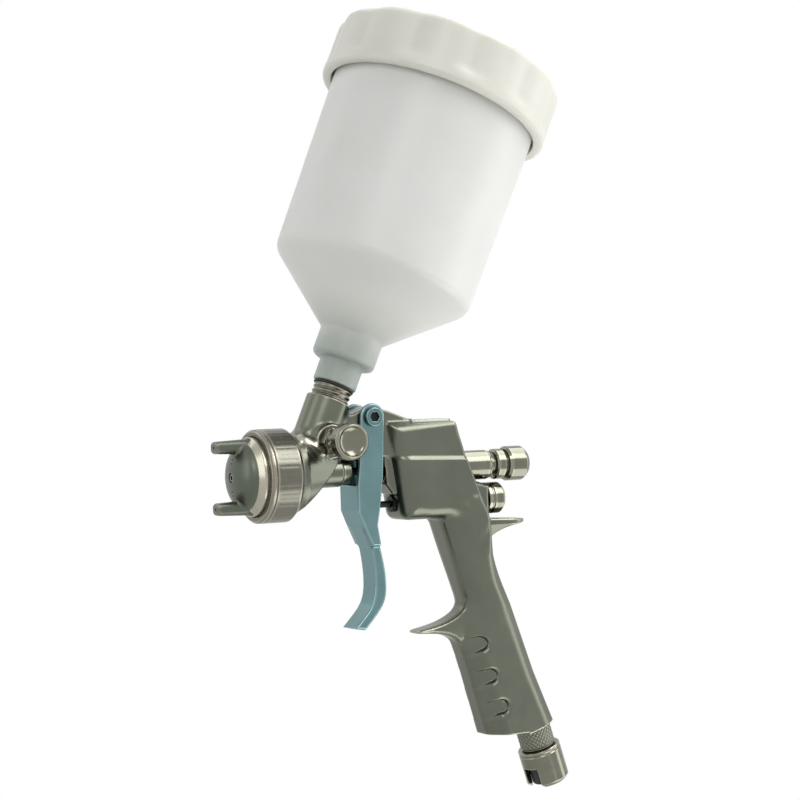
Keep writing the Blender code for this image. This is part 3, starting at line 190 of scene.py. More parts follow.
def plasticFinish(name, look, **sockets):
    made, tree, shader = newFinish(name, Metallic=0.0, **sockets)
    spot = addNode(tree, "ShaderNodeTexCoord").outputs["Object"]
    cloud = addNode(tree, "ShaderNodeTexNoise", {
        "Vector": spot, "Scale": perMm(look["cloudMm"]), "Detail": 3.0})
    ramp = addNode(tree, "ShaderNodeValToRGB", {"Fac": cloud.outputs["Fac"]})
    for stop, tone, at in zip(ramp.color_ramp.elements, ("dark", "light"), midCloud.values()):
        stop.color, stop.position = ink(look[tone]), at
    colour = ramp.outputs["Color"]
    if look.get("neckPaintedShade"):  # painted shade: the neck is tinted grey-green where the metal nipple would show through the wall
        split = addNode(tree, "ShaderNodeSeparateXYZ", {"Vector": spot})
        low, high = look["neckFrom"]
        share = addNode(tree, "ShaderNodeMapRange", {
            "Value": split.outputs["Z"], "From Min": low * mm, "From Max": high * mm,
            "To Min": look["neckShare"], "To Max": 0.0}, interpolation_type="SMOOTHSTEP")
        shade = addNode(tree, "ShaderNodeMix", {
            "Factor": share.outputs["Result"], "A": colour, "B": ink(look["neckPaintedShade"])}, data_type="RGBA")
        colour = shade.outputs["Result"]
    tree.links.new(colour, shader.inputs["Base Color"])
    rough = addNode(tree, "ShaderNodeMapRange", {
        "Value": cloud.outputs["Fac"], **midCloud, "To Min": look["rough"][0], "To Max": look["rough"][1]})
    tree.links.new(rough.outputs["Result"], shader.inputs["Roughness"])
    grain = addNode(tree, "ShaderNodeTexNoise", {
        "Vector": spot, "Scale": perMm(look["grainMm"]), "Detail": 2.0})
    bump = addNode(tree, "ShaderNodeBump", {
        "Height": grain.outputs["Fac"], "Strength": look["bump"], "Distance": look["bumpMm"] * mm})
    tree.links.new(bump.outputs["Normal"], shader.inputs["Normal"])
    return made


# blow-moulded natural polyethylene: milky, light passes softly through the wall
milkyPolyethylene = plasticFinish("milkyPolyethylene", {
    "dark": "#E8E8E0", "light": "#F0EFE8", "neckPaintedShade": "#98A59E", "neckFrom": (16.0, 46.0), "neckShare": 0.85,
    "cloudMm": 45.0, "grainMm": 1.6, "rough": (0.36, 0.46), "bump": 0.06, "bumpMm": 0.08},
    IOR=1.51, Subsurface_Weight=0.7, Subsurface_Radius=(1.0, 0.95, 0.85), Subsurface_Scale=0.006,
    Transmission_Weight=0.12)
# injection-moulded white polypropylene of the screw lid: whiter and a little glossier
whitePolypropylene = plasticFinish("whitePolypropylene", {
    "dark": "#D0D0C7", "light": "#D8D7CE", "cloudMm": 30.0, "grainMm": 1.2, "rough": (0.34, 0.44),
    "bump": 0.05, "bumpMm": 0.06},
    IOR=1.49, Subsurface_Weight=0.6, Subsurface_Radius=(1.0, 0.97, 0.9), Subsurface_Scale=0.004)
# skived PTFE of packings and seals
whitePtfe = plasticFinish("skivedPtfe", {
    "dark": "#DAD9D2", "light": "#E5E4DE", "cloudMm": 6.0, "grainMm": 0.5, "rough": (0.45, 0.55),
    "bump": 0.06, "bumpMm": 0.04}, IOR=1.38)
# moulded nitrile rubber: matt black with a faint grey bloom
nitrileRubber = plasticFinish("nitrileRubber", {
    "dark": "#0C0C0C", "light": "#161615", "cloudMm": 5.0, "grainMm": 0.5, "rough": (0.55, 0.7),
    "bump": 0.12, "bumpMm": 0.05}, IOR=1.52)
print("finishes made:", len(bpy.data.materials))


# solids as distance fields in mm, so that cast corners can flow into one another

def polygonField(points, x, z, axisZ=None):  # sides that lie on axisZ aren't surface
    best, inside = None, None
    count = len(points)
    for i in range(count):
        (ax, az), (bx, bz) = points[i], points[(i + 1) % count]
        ex, ez = bx - ax, bz - az
        wx, wz = x - ax, z - az
        if not (axisZ is not None and abs(az - axisZ) < 1e-6 and abs(bz - axisZ) < 1e-6):
            t = np.clip((wx * ex + wz * ez) / max(ex * ex + ez * ez, 1e-12), 0, 1)
            d = (wx - ex * t) ** 2 + (wz - ez * t) ** 2
            best = d if best is None else np.minimum(best, d)
        if az != bz:
            hit = ((az > z) != (bz > z)) & (x < ex * (z - az) / ez + ax)
            inside = hit if inside is None else inside ^ hit
    return np.where(inside, -1.0, 1.0) * np.sqrt(best)


def slab(flat, y, half, edge):  # a flat outline drawn out to both sides, its edges rounded
    a, b = flat + edge, np.abs(y) - half + edge
    return np.minimum(np.maximum(a, b), 0) + np.hypot(np.maximum(a, 0), np.maximum(b, 0)) - edge


def rodField(along, radial, low, high, radius, edge=0.0):  # a round bar from low to high
    return slab(radial - radius, along - (low + high) / 2, (high - low) / 2, edge)


def merge(a, b, soft):  # both solids, with a fillet about that wide
    h = np.maximum(soft - np.abs(a - b), 0) / soft
    return np.minimum(a, b) - h * h * soft / 4


def carve(a, b, soft):  # a without b, its new edges rounded
    return -merge(-a, b, soft)


def roundCorners(corners, stepAngle=radians(10)):  # (x, z, radius) to points
    points = []
    for i, (x, z, radius) in enumerate(corners):
        here = Vector((x, z))
        before = (Vector(corners[i - 1][:2]) - here).normalized()
        after = (Vector(corners[(i + 1) % len(corners)][:2]) - here).normalized()
        half = before.angle(after) / 2
        if radius == 0 or half > radians(89):
            points.append((x, z))
            continue
        centre = here + (before + after).normalized() * radius / sin(half)
        first = here + before * radius / tan(half) - centre
        last = here + after * radius / tan(half) - centre
        count = max(2, round((pi - 2 * half) / stepAngle))
        for k in range(count + 1):
            points.append(tuple(centre + first.lerp(last, k / count).normalized() * radius))
    return points


def flowing(points, perSpan=5):  # a smooth open curve through the points
    ends = [points[0], *points, points[-1]]
    curve = []
    for a, b, c, d in zip(ends, ends[1:], ends[2:], ends[3:]):
        for k in range(perSpan):
            t = k / perSpan
            curve.append(tuple(
                0.5 * (2 * q + (r - p) * t + (2 * p - 5 * q + 4 * r - s) * t * t
                       + (3 * q - p - 3 * r + s) * t ** 3)
                for p, q, r, s in zip(a, b, c, d)))
    return curve + [points[-1]]


def newMesh(name, points, faces, place, finish):
    mesh = bpy.data.meshes.new(name)
    mesh.from_pydata(points, [], faces)
    mesh.update()
    mesh.shade_smooth()
    mesh.materials.append(finish)
    made = bpy.data.objects.new(name, mesh)
    made.matrix_world = place
    bpy.context.scene.collection.objects.link(made)
    return made


def markRubAndSheen(made, passes=3):  # how sharply each point is bent outward, per mm: edges are painted paler there, partly as rubbed wear and partly as painted highlight
    mesh = made.data
    count = len(mesh.vertices)
    spots, normals, pairs = np.empty(count * 3), np.empty(count * 3), np.empty(len(mesh.edges) * 2, int)
    mesh.vertices.foreach_get("co", spots)
    mesh.vertices.foreach_get("normal", normals)
    mesh.edges.foreach_get("vertices", pairs)
    spots, normals = spots.reshape(-1, 3) / mm, normals.reshape(-1, 3)
    a, b = pairs.reshape(-1, 2).T
    way = spots[a] - spots[b]
    long = np.maximum((way * way).sum(1), 1e-4)
    near = np.maximum(np.bincount(pairs, minlength=count), 1)
    bend = np.bincount(a, (normals[a] * way).sum(1) / long, count)
    bend -= np.bincount(b, (normals[b] * way).sum(1) / long, count)
    bend = np.clip(bend / near, -0.5, 0.5)
    for _ in range(passes):
        bend = 0.5 * bend + 0.5 * (np.bincount(a, bend[b], count) + np.bincount(b, bend[a], count)) / near
    mesh.attributes.new("rub_and_sheen", "FLOAT", "POINT").data.foreach_set("value", bend)


def castMesh(name, field, low, high, step, place, finish):  # the field's zero surface as quads
    ticks = [np.arange(a, b + step, step) for a, b in zip(low, high)]
    blocks, thick = [], 24  # a few layers at a time, to spare memory
    for start in range(0, len(ticks[0]), thick):
        x = ticks[0][start:start + thick][:, None, None]
        value = field(x, ticks[1][None, :, None], ticks[2][None, None, :])
        value = np.broadcast_to(value, (x.shape[0], len(ticks[1]), len(ticks[2])))
        blocks.append(value.astype(np.float32))
    grid = np.concatenate(blocks)
    inside = grid < 0
    corner = [(i, j, k) for i in (0, 1) for j in (0, 1) for k in (0, 1)]
    nx, ny, nz = (n - 1 for n in grid.shape)
    total = sum(inside[i:i + nx, j:j + ny, k:k + nz].astype(np.int8) for i, j, k in corner)
    cells = np.argwhere((total > 0) & (total < 8))
    values = np.stack([grid[tuple((cells + c).T)] for c in corner], 1)
    spots = np.zeros((len(cells), 3))
    hits = np.zeros(len(cells))
    for a in range(8):
        for b in range(a + 1, 8):
            if sum(abs(p - q) for p, q in zip(corner[a], corner[b])) == 1:
                va, vb = values[:, a], values[:, b]
                crossed = (va < 0) != (vb < 0)
                t = np.where(crossed, va / np.where(crossed, va - vb, 1), 0)[:, None]
                spot = np.array(corner[a]) * (1 - t) + np.array(corner[b]) * t
                spots += np.where(crossed[:, None], spot, 0)
                hits += crossed
    points = (cells + spots / hits[:, None]) * step + np.array([t[0] for t in ticks])
    number = np.full((nx, ny, nz), -1)
    number[tuple(cells.T)] = np.arange(len(cells))
    faces = []
    for axis in range(3):
        u, v = (axis + 1) % 3, (axis + 2) % 3
        ahead = np.roll(inside, -1, axis)
        for sign in (True, False):
            edges = np.argwhere((inside == sign) & (ahead != sign))
            ok = (edges[:, axis] < grid.shape[axis] - 1) & (edges[:, u] > 0) & (edges[:, v] > 0)
            ok &= (edges[:, u] < grid.shape[u] - 1) & (edges[:, v] < grid.shape[v] - 1)
            edges = edges[ok]
            ring = []
            for du, dv in ((0, 0), (-1, 0), (-1, -1), (0, -1)):
                spot = edges.copy()
                spot[:, u] += du
                spot[:, v] += dv
                ring.append(number[tuple(spot.T)])
            faces.append(np.stack(ring if sign else ring[::-1], 1))
    faces = np.concatenate(faces)
    made = newMesh(name, (points * mm).tolist(), faces.tolist(), place, finish)
    markRubAndSheen(made)
    print("cast", name, len(faces), "quads")
    return made


def turnOut(made):  # faces outward
    work = bmesh.new()
    work.from_mesh(made.data)
    bmesh.ops.recalc_face_normals(work, faces=work.faces)
    work.to_mesh(made.data)
    work.free()


def lathe(name, place, profile, finish, turns=96, shape=None, spacing=1.0):
    # profile: (along, radius, corner round), closed, up the outside and down the inside
    outline = roundCorners(profile, radians(18))
    dense = []  # rings close enough for the rubbed, painted-highlight edges and for patterns to stay where they are
    for (a, b), (c, d) in zip(outline, outline[1:] + outline[:1]):
        n = max(1, round(((c - a) ** 2 + (d - b) ** 2) ** 0.5 / spacing))
        dense += [(a + (c - a) * k / n, b + (d - b) * k / n) for k in range(n)]
    outline = dense
    points, rings = [], []
    for along, radius in outline:
        if radius < 1e-6:
            rings.append([len(points)] * turns)
            points.append((0, 0, along * mm))
            continue
        rings.append(list(range(len(points), len(points) + turns)))
        for k in range(turns):
            angle = 2 * pi * k / turns
            r = radius + (shape(angle, along, radius) if shape else 0)
            points.append((r * cos(angle) * mm, r * sin(angle) * mm, along * mm))
    faces = []
    for a, b in zip(rings, rings[1:] + rings[:1]):
        for k in range(turns):
            n = (k + 1) % turns
            quad = [a[k], b[k], b[n], a[n]]
            quad = [q for i, q in enumerate(quad) if q != quad[i - 1]]
            if len(quad) > 2:
                faces.append(quad)
    made = newMesh(name, points, faces, place, finish)
    turnOut(made)
    markRubAndSheen(made, 1)
    even = made.modifiers.new("evenShading", "WEIGHTED_NORMAL")
    even.weight = 70
    return made


def settle(made, body, node):
    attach(made, body)
    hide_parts(node)
    return made


def settleTurned(name, place, profile, finish, body, node, turns=64, shape=None, spacing=1.0):
    return settle(lathe(name, place, profile, finish, turns, shape, spacing), body, node)


# camera first, at the photograph's angle
shot = {"azimuth": -29.0, "roll": 2.0, "aim": (-0.042, 0.0, 0.103), "distance": 0.900, "lens": 90.0}
turn, tilt = radians(shot["azimuth"]), radians(shot["roll"])
away = Vector((sin(turn), -cos(turn), 0))
level = Vector((cos(turn), sin(turn), 0))
above = away.cross(level)
across = level * cos(tilt) - above * sin(tilt)
upward = level * sin(tilt) + above * cos(tilt)
camera = bpy.data.objects.new("camera", bpy.data.cameras.new("camera"))
camera.data.lens = shot["lens"]
camera.data.sensor_width = 36.0
camera.data.clip_start = 0.01
camera.matrix_world = Matrix.Translation(Vector(shot["aim"]) + away * shot["distance"]) @ Matrix(
    (across, upward, away)).transposed().to_4x4()
bpy.context.scene.collection.objects.link(camera)
bpy.context.scene.camera = camera


# the casting: head, cup boss, beam over the trigger, body, handle, hook and spur
casting = {
    "step": 0.45,
    "front": [(15.2, -22.8, 4.5), (8.9, 20.8, 1.0)],
    "back": [(42.7, 20.8, 1.6), (47.3, 4.0, 0), (58.8, -25.5, 12.0), (60.2, -41.0, 30.0), (70.0, -64.0, 40.0),
             (81.2, -96.0, 40.0), (97.1, -133.8, 0)],
    "tail": [(52.0, -34.0, 0), (43.0, -22.8, 4.0)],  # the body's underside, on into the handle
    "under": [(60.2, -134.9, 0), (45.4, -83.0, 8.0), (48.0, -63.0, 8.0), (32.9, -16.0, 0)],  # handle's front
    "crown": [(52.0, -14.0, 0)],  # the handle's top, inside the body
    "sideHalf": 11.5, "panelOut": 1.0, "panelTop": (11.6, 5.4, -0.04), "handleHalf": 12.1,
    "blockRound": 6.0, "noseRound": 7.0, "upperRound": 5.5, "topRound": (5.5, 2.2), "rearRound": 1.5,
    "backRound": 3.0, "backFace": 8.2, "backFlare": 0.57, "backWiden": 5.0,
    "face": (5.2, 6.8, 7.9),  # half the front face: at the fingers, above the hook and below the body
    "faceFlare": ([-80.0, -70.0], [0.95, 0.62]), "faceSoft": ([-80.0, -68.0], [1.6, 4.0]),
    "foot": [(40.0, -123.4), (75.5, -123.4), (75.4, -124.3), (101.2, -116.4), (106.0, -140.0),
             (40.0, -150.0)],
    "hook": flowing([(52, -58), (47, -64.5), (37, -70), (23.4, -73)]) + flowing(
        [(22.9, -74.4), (36, -75.8), (44, -80), (51, -90)]),
    "hookHalf": 6.6,
    "spur": [(52, -24), (81.6, -25.6)] + flowing(
        [(82.2, -27.2), (71, -29.2), (63.8, -33.6), (61.4, -41), (56, -42)]),
    "spurHalf": 7.0, "spurTip": (73.0, 9.6), "spurLean": (-27.6, 0.75, 1.8),
    "beam": [(-33, 5.9, 0), (16, 5.9, 2.0), (22, 9.9, 0), (22, 21.9, 0), (10, 26.5, 6.0), (1.0, 29.0, 5.0),
             (-8, 25.3, 6.0), (-14, 24.5, 0), (-33, 18, 0)],
    "beamHalf": 6.8,
    "head": [(-44, 0), (-44, 17.0), (-38.2, 17.0), (-38.2, 18.3), (-35.2, 18.3), (-14, 10.5), (-14, 0)],
    "undercut": ((-37.5, -16.5), (-20.0, 2.0)),
    "pockets": [((40.0, -84.6), (51.6, -81.4)), ((44.6, -99.4), (56.0, -96.4)),
                ((49.4, -113.9), (61.2, -110.8))],
    "pocketHalf": 3.8, "pocketFloor": (5.5, 0.46, 10.0), "pocketLip": 0.9,
    "nose": [(7.2, 20), (7.2, 5), (8.5, -6.5), (12, -11), (18, -12), (20, 0), (20, 20)],
    "noseHalf": 6.0,  # stays between the trigger's cheeks at full pull
    "pad": [(21.0, 14.0), (42.0, 14.0), (41.4, 22.0), (21.6, 22.0)], "padHalf": 7.6,
    "valveBoss": [(46, -5), (53, -6.5), (61.2, -9.0), (61.2, -22.5), (58.5, -25)], "valveBossHalf": 7.8,
    "gallery": ((-34.2, -9.6, 13.4), (-28.4, -10.8, 9.4), 4.4),
    # round bosses and bores: from, to, radius along their axis
    "stub": (-40.0, -12.5, 6.5), "fanBoss": (0.0, 13.0, 7.5), "cupBoss": (-29.0, 0.0, 10.0),
    "needleBores": [(4.0, 14.8, 5.4), (10.0, 30.0, 1.95), (26.0, 44.0, 5.2), (42.7, 70.0, 7.1)],
    "valveBores": [(8.0, 28.0, 3.1), (27.6, 70.0, 6.0)], "fanBore": (5.5, 18.0, 4.8),
    "cupBores": [(-13.3, 6.0, 6.8), (-35.0, -13.0, 3.5)], "inletSocket": (-9.3, 8.0, 5.8), "pinBore": 2.6,
    "headBore": [(-50, 0), (-50, 6.3), (-35.7, 6.3), (-35.7, 3.2), (-24.3, 3.2), (-24.3, 4.8), (-8.5, 4.8),
                 (-8.5, 0)],
    "airway": ((82.28, -116.11), (42.0, -15.4), 3.5),
}


def ease(value, low, high):  # 0 below low, 1 above high
    t = np.clip((value - low) / (high - low), 0, 1)
    return t * t * (3 - 2 * t)


def edgeAt(corners, z):  # x of an outline's edge at each height
    return np.interp(z, [corner[1] for corner in corners], [corner[0] for corner in corners])


def castingField(x, y, z):
    c = casting
    bodyAhead, ahead, behind = edgeAt(c["front"], z), edgeAt(c["under"], z), edgeAt(c["back"][::-1], z)
    backRound = c["backRound"] + (c["rearRound"] - c["backRound"]) * ease(z, -40.0, -20.0)
    nearBack = 1 - ease(behind - x, 4.5, 9.0)
    frontRound = c["noseRound"] + (c["upperRound"] - c["noseRound"]) * ease(z, 2.0, 14.0)
    edgeRound = c["blockRound"] + (frontRound - c["blockRound"]) * (1 - ease(x - bodyAhead, 6.0, 14.0))
    edgeRound = edgeRound + (backRound - edgeRound) * nearBack
    edgeRound = edgeRound + (np.interp(x, [8.0, 42.0], c["topRound"]) - edgeRound) * ease(z, 9.0, 15.0)
    panelLine = c["panelTop"][1] + (x - c["panelTop"][0]) * c["panelTop"][2]
    half = c["sideHalf"] + c["panelOut"] * ease(panelLine - z, -1.2, 1.2) * ease(x - bodyAhead, -2.0, 2.0)
    block = roundCorners(c["front"] + c["back"][:3] + c["tail"])
    body = slab(polygonField(block, x, z), y, half, edgeRound)
    panelHalf = c["sideHalf"] + c["panelOut"]
    half = panelHalf + (c["handleHalf"] - panelHalf) * ease(-z, 30.0, 60.0)
    edgeRound = c["blockRound"] + (backRound - c["blockRound"]) * nearBack
    handle = roundCorners(c["back"][2:] + c["under"] + c["crown"])
    one = slab(polygonField(handle, x, z), y, half, edgeRound)
    one = merge(one, slab(polygonField(c["hook"], x, z), y, c["hookHalf"], 1.6), 4.0)
    depth = np.maximum(x - ahead, 0)  # the handle's sides open from a narrower front face
    flare = np.interp(z, *c["faceFlare"])
    face = c["face"][0] + (c["face"][1] - c["face"][0]) * ease(z, -80.0, -70.0)
    face = face + (c["face"][2] - c["face"][1]) * ease(z, -60.0, -32.0)
    sides = (np.abs(y) - face - flare * depth) / np.hypot(1, flare)
    one = carve(one, -sides, np.interp(z, *c["faceSoft"]))
    sides = np.abs(y) - c["backFace"] - c["backFlare"] * (behind - x) - c["backWiden"] * ease(z, -56.0, -24.0)
    one = carve(one, -sides / np.hypot(1, c["backFlare"]), 1.6)
    for (ax, az), (bx, bz) in c["pockets"]:  # finger recesses from the front face's edge back
        ex, ez = bx - ax, bz - az
        t = np.clip(((x - ax) * ex + (z - az) * ez) / (ex * ex + ez * ez), -1, 1)
        flat = np.hypot(x - ax - ex * t, z - az - ez * t) - c["pocketHalf"]
        below = np.clip(((x - ax) * ez - (z - az) * ex) / np.hypot(ex, ez) / c["pocketHalf"], 0, 1)
        sunk = np.maximum(np.minimum(face + flare * depth, c["handleHalf"]) - np.abs(y), 0)
        flat = flat + c["pocketLip"] * sunk * below  # the lower wall slopes
        start, rise, most = c["pocketFloor"]
        one = carve(one, np.maximum(flat, np.minimum(start + rise * depth, most) - np.abs(y)), 1.6)
    one = merge(one, body, 3.0)
    tipX, tipLong = c["spurTip"]  # the spur's tip is round in plan, and its sides lean in below
    tongue = c["spurHalf"] * np.sqrt(1 - np.clip((x - tipX) / tipLong, 0, 0.98) ** 2)
    leanZ, lean, least = c["spurLean"]
    tongue = np.maximum(tongue - lean * np.maximum(leanZ - z, 0), least)
    one = merge(one, slab(polygonField(c["spur"], x, z), y, tongue, 0.9), 3.0)
    one = merge(one, slab(polygonField(c["valveBoss"], x, z), y, c["valveBossHalf"], 2.5), 1.2)
    one = np.maximum(one, -polygonField(c["foot"], x, z))
    one = merge(one, slab(polygonField(c["pad"], x, z), y, c["padHalf"], 0.7), 0.6)
    if x.min() < 26:  # from here on, each form only in the layers that it reaches
        beam = slab(polygonField(roundCorners(c["beam"]), x, z), y, c["beamHalf"], 0.8)
        one = merge(one, beam, 2.0)
        one = merge(one, slab(polygonField(c["nose"], x, z), y, c["noseHalf"], 1.5), 0.8)
    fanX, fanZ = axes["fan"]
    fanRadial = np.hypot(x - fanX, z - fanZ)
    needleRadial = np.hypot(y, z)
    if x.min() < -6:
        head = polygonField(c["head"], x, needleRadial, 0.0)
        low, high = (Vector(p) for p in c["undercut"])
        run = (high - low).normalized()
        head = carve(head, -((x - low.x) * run.y - (z - low.y) * run.x), 0.8)
        head = merge(head, rodField(x, needleRadial, *c["stub"], 0.6), 1.0)
        one = merge(one, head, 1.5)
        one = merge(one, rodField(-y, fanRadial, *c["fanBoss"], 0.5), 1.6)
        start, end, radius = c["gallery"]  # the air passage to the fan valve swells the wall
        run = Vector(end) - Vector(start)
        dx, dy, dz = x - start[0], y - start[1], z - start[2]
        t = np.clip((dx * run.x + dy * run.y + dz * run.z) / run.length_squared, 0, 1)
        off = (dx - run.x * t) ** 2 + (dy - run.y * t) ** 2 + (dz - run.z * t) ** 2
        one = merge(one, np.sqrt(off) - radius, 2.2)
    if x.min() < 4:
        dx, dz = x - axes["cup"][0], z - axes["cup"][1]
        along = dx * sin(cupLean) + dz * cos(cupLean)
        radial = np.hypot(dx * cos(cupLean) - dz * sin(cupLean), y)
        one = merge(one, rodField(along, radial, *c["cupBoss"], 0.7), 2.0)
        for bore in c["cupBores"]:
            one = np.maximum(one, -rodField(along, radial, *bore))
    if x.max() > 5:
        for bore in c["needleBores"]:
            one = np.maximum(one, -rodField(x, needleRadial, *bore))
        for bore in c["valveBores"]:
            one = np.maximum(one, -rodField(x, np.hypot(y, z - axes["valveZ"]), *bore))
        dx, dz = x - axes["inlet"][0], z - axes["inlet"][1]
        along = dx * sin(inletLean) - dz * cos(inletLean)
        radial = np.hypot(dx * cos(inletLean) + dz * sin(inletLean), y)
        one = np.maximum(one, -rodField(along, radial, *c["inletSocket"]))
        (ax, az), (bx, bz), radius = c["airway"]
        run = Vector((bx - ax, bz - az))
        way = run.normalized()
        along = (x - ax) * way.x + (z - az) * way.y
        radial = np.hypot((x - ax) * way.y - (z - az) * way.x, y)
        one = np.maximum(one, -rodField(along, radial, -0.8, run.length, radius))
    if x.min() < -6:
        one = np.maximum(one, -polygonField(c["headBore"], x, needleRadial, 0.0))
        one = np.maximum(one, -rodField(-y, fanRadial, *c["fanBore"]))
    if x.min() < 8:
        one = np.maximum(one, c["pinBore"] - np.hypot(x - axes["pivot"][0], z - axes["pivot"][1]))
    return one


gunCasting = castMesh("gunCasting", castingField, (-46, -19.6, -129), (97, 19.6, 36), casting["step"],
                      gunFrame, castNickel)
gunCasting.data.materials.append(paleNickelPaintedHighlight)
galleryStart, galleryEnd = (Vector(end) for end in casting["gallery"][:2])
for face in gunCasting.data.polygons:  # the swelling behind the ring gets the pale finish, a painted highlight
    spot = face.center / mm
    share = intersect_point_line(spot, galleryStart, galleryEnd)[1]
    near = galleryStart.lerp(galleryEnd, min(1, max(0, share)))
    if (spot - near).length < casting["gallery"][2] + 0.12:
        face.material_index = 1
settle(gunCasting, "gun", "gun_body")


# the trigger: two cheeks, a web and a bridge between them, and a lever that curls forward
triggerLook = {
    "step": 0.35, "cheekOut": 9.0, "cheekIn": 7.2, "leverHalf": 6.5,
    "earRound": 6.0, "pinHole": 2.6, "edge": 0.8, "leverRound": 1.2,
    "hollow": [(-20, 40), (-20, -6), (-5.5, -6), (-5.5, -17.5), (-3.3, -23), (-3.3, -26.5), (12, -26.5),
               (12, 40)],
    "bridge": [(-2.6, -9), (-0.4, -9), (-0.4, 4.8), (-2.6, 4.8)], "bridgeHalf": 7.6, "needleHalf": 2.25,
    "ahead": [(-6.3, 3.0), (-7.5, -6.0), (-7.5, -17.5), (-5.3, -23.0), (-0.8, -33.0)],
    "behind": [(3.4, -33.0), (2.0, -24.0), (3.5, -16.0), (5.4, -3.0)],
    "front": [(-4.6, -25.0), (-0.8, -33.0), (1.1, -48.0), (-0.9, -59.0), (-10.0, -69.2)],
    "back": [(-4.4, -70.2), (5.0, -59.0), (6.6, -48.0), (4.0, -33.0), (1.6, -27.0)],
}


def triggerField(x, y, z):
    t = triggerLook
    (cx, cz), r = axes["pivot"], t["earRound"]
    ear = [(cx + r * cos(radians(a)), cz + r * sin(radians(a))) for a in range(0, 181, 10)]
    outer = slab(polygonField(ear + t["ahead"] + t["behind"], x, z), y, t["cheekOut"], t["edge"])
    hollow = slab(polygonField(t["hollow"], x, z), y, t["cheekIn"], 0.0)
    one = carve(outer, hollow, 0.5)
    lever = polygonField(flowing(t["front"]) + flowing(t["back"]), x, z)
    one = merge(one, slab(lever, y, t["leverHalf"], t["leverRound"]), 1.6)
    bridge = np.maximum(polygonField(t["bridge"], x, z), np.abs(y) - t["bridgeHalf"])
    one = np.minimum(one, bridge)
    slot = np.maximum(np.abs(y) - t["needleHalf"], -t["needleHalf"] - z)  # the needle goes through the bridge
    slot = np.maximum(slot, np.maximum(np.abs(x + 1.5) - 2.0, z - 8.0))
    one = np.maximum(one, -slot)
    return np.maximum(one, t["pinHole"] - np.hypot(x - cx, z - cz))


trigger = castMesh("triggerLever", triggerField, (-13, -10, -72), (9, 10, 31), triggerLook["step"], gunFrame,
                   anodisedTeal)
settle(trigger, "trigger", "trigger")


# the air cap: a dome with a hole, a chamfer painted bright as a highlight, and two horns
capLook = {
    "step": 0.28, "dome": (-57.83, 6.8, 14.3), "holeAngle": 0.1543,
    "skirt": [(-55.8, 17.3), (-51.0, 17.3), (-51.0, 19.0), (-48.6, 19.0), (-48.6, 15.3), (-54.0, 15.3),
              (-55.8, 12.3), (-62.5, 2.2)],
    "hornAt": 13.2, "hornMid": -64.0, "hornHalf": 8.3, "hornCore": (0.8, 1.6, 2.4),
    "hornHoles": (-69.3, -66.3), "helperAt": 6.2, "holeRound": 0.55,
    "brightFrom": (14.45, -58.0), "hornFoot": (4.3, -56.2),
}


def capField(x, y, z):
    c = capLook
    (foot, high, wide), hole, steps = c["dome"], c["holeAngle"], 40
    dome = [(foot - high * cos(a), wide * sin(a))
            for a in (hole + (pi / 2 - hole) * k / steps for k in range(steps + 1))]
    one = polygonField(dome + c["skirt"], x, np.hypot(y, z))
    for way in (1, -1):
        up = way * z - c["hornAt"]
        thick, broad, corner = c["hornCore"]
        side = np.hypot(np.maximum(np.abs(up) - thick, 0), np.maximum(np.abs(y) - broad, 0)) - corner
        lean = 0.12 * np.maximum(-x - 58.0, 0) / 3  # slightly slimmer towards the tip
        one = merge(one, slab(side + lean, x - c["hornMid"], c["hornHalf"], 1.6), 1.6)
        for at in c["hornHoles"]:  # the two air holes on each horn's inner face, 30 degrees off square
            down = -(x - at) * 0.5 + up * 0.87
            off = np.hypot((x - at) * 0.87 + up * 0.5, y)
            one = np.maximum(one, -rodField(down, off, -9.0, -1.0, c["holeRound"]))
        one = np.maximum(one, -rodField(x, np.hypot(up, y), -76.0, -71.4, 0.7))  # the drilling's end
        helper = np.hypot(way * z - c["helperAt"], y)
        one = np.maximum(one, -rodField(x, helper, -70.0, -58.0, c["holeRound"]))
    return one


airCap = castMesh("airCapHorned", capField, (-74, -20.2, -20.2), (-47, 20.2, 20.2), capLook["step"], gunFrame,
                  capNickel)
airCap.data.materials.append(paleNickelPaintedHighlight)
brightRadius, brightX = capLook["brightFrom"]
footHalf, footX = capLook["hornFoot"]
for face in airCap.data.polygons:  # the chamfer and the skirt are turned, and get the pale finish as a painted highlight; the horns' feet don't
    spot = face.center / mm
    onHorn = abs(spot.y) < footHalf and spot.x < footX
    if spot.yz.length > brightRadius and spot.x > brightX and not onHorn:
        face.material_index = 1
settle(airCap, "air_cap", "air_cap")


# the cap's screw ring: smooth front lip, fluted barrel
ringLook = {"flutes": 44, "deep": 0.084, "from": (-50.6, -40.6), "run": 0.8, "outside": 19.9}


def ringShape(angle, along, radius):
    low, high = ringLook["from"]
    if radius < ringLook["outside"] or not low < along < high:
        return 0.0
    fade = min(1.0, (along - low) / ringLook["run"], (high - along) / ringLook["run"])
    return -ringLook["deep"] * fade * (1 - abs(cos(ringLook["flutes"] * angle / 2))) ** 1.5


settleTurned("airCapRing", needleFrame, [
    (-53.95, 17.6, 0), (-53.95, 19.5, 0.5), (-53.0, 20.4, 0.5), (-51.9, 20.4, 0.3), (-51.5, 20.0, 0.15),
    (-51.1, 20.5, 0.2), (-40.0, 20.5, 0.4), (-38.5, 19.2, 0.4), (-38.5, 17.3, 0), (-44.3, 17.3, 0),
    (-44.3, 19.3, 0), (-52.3, 19.3, 0), (-52.3, 17.6, 0)],
    ringNickel, "ring", "air_cap_ring", 352, ringShape, 0.8)


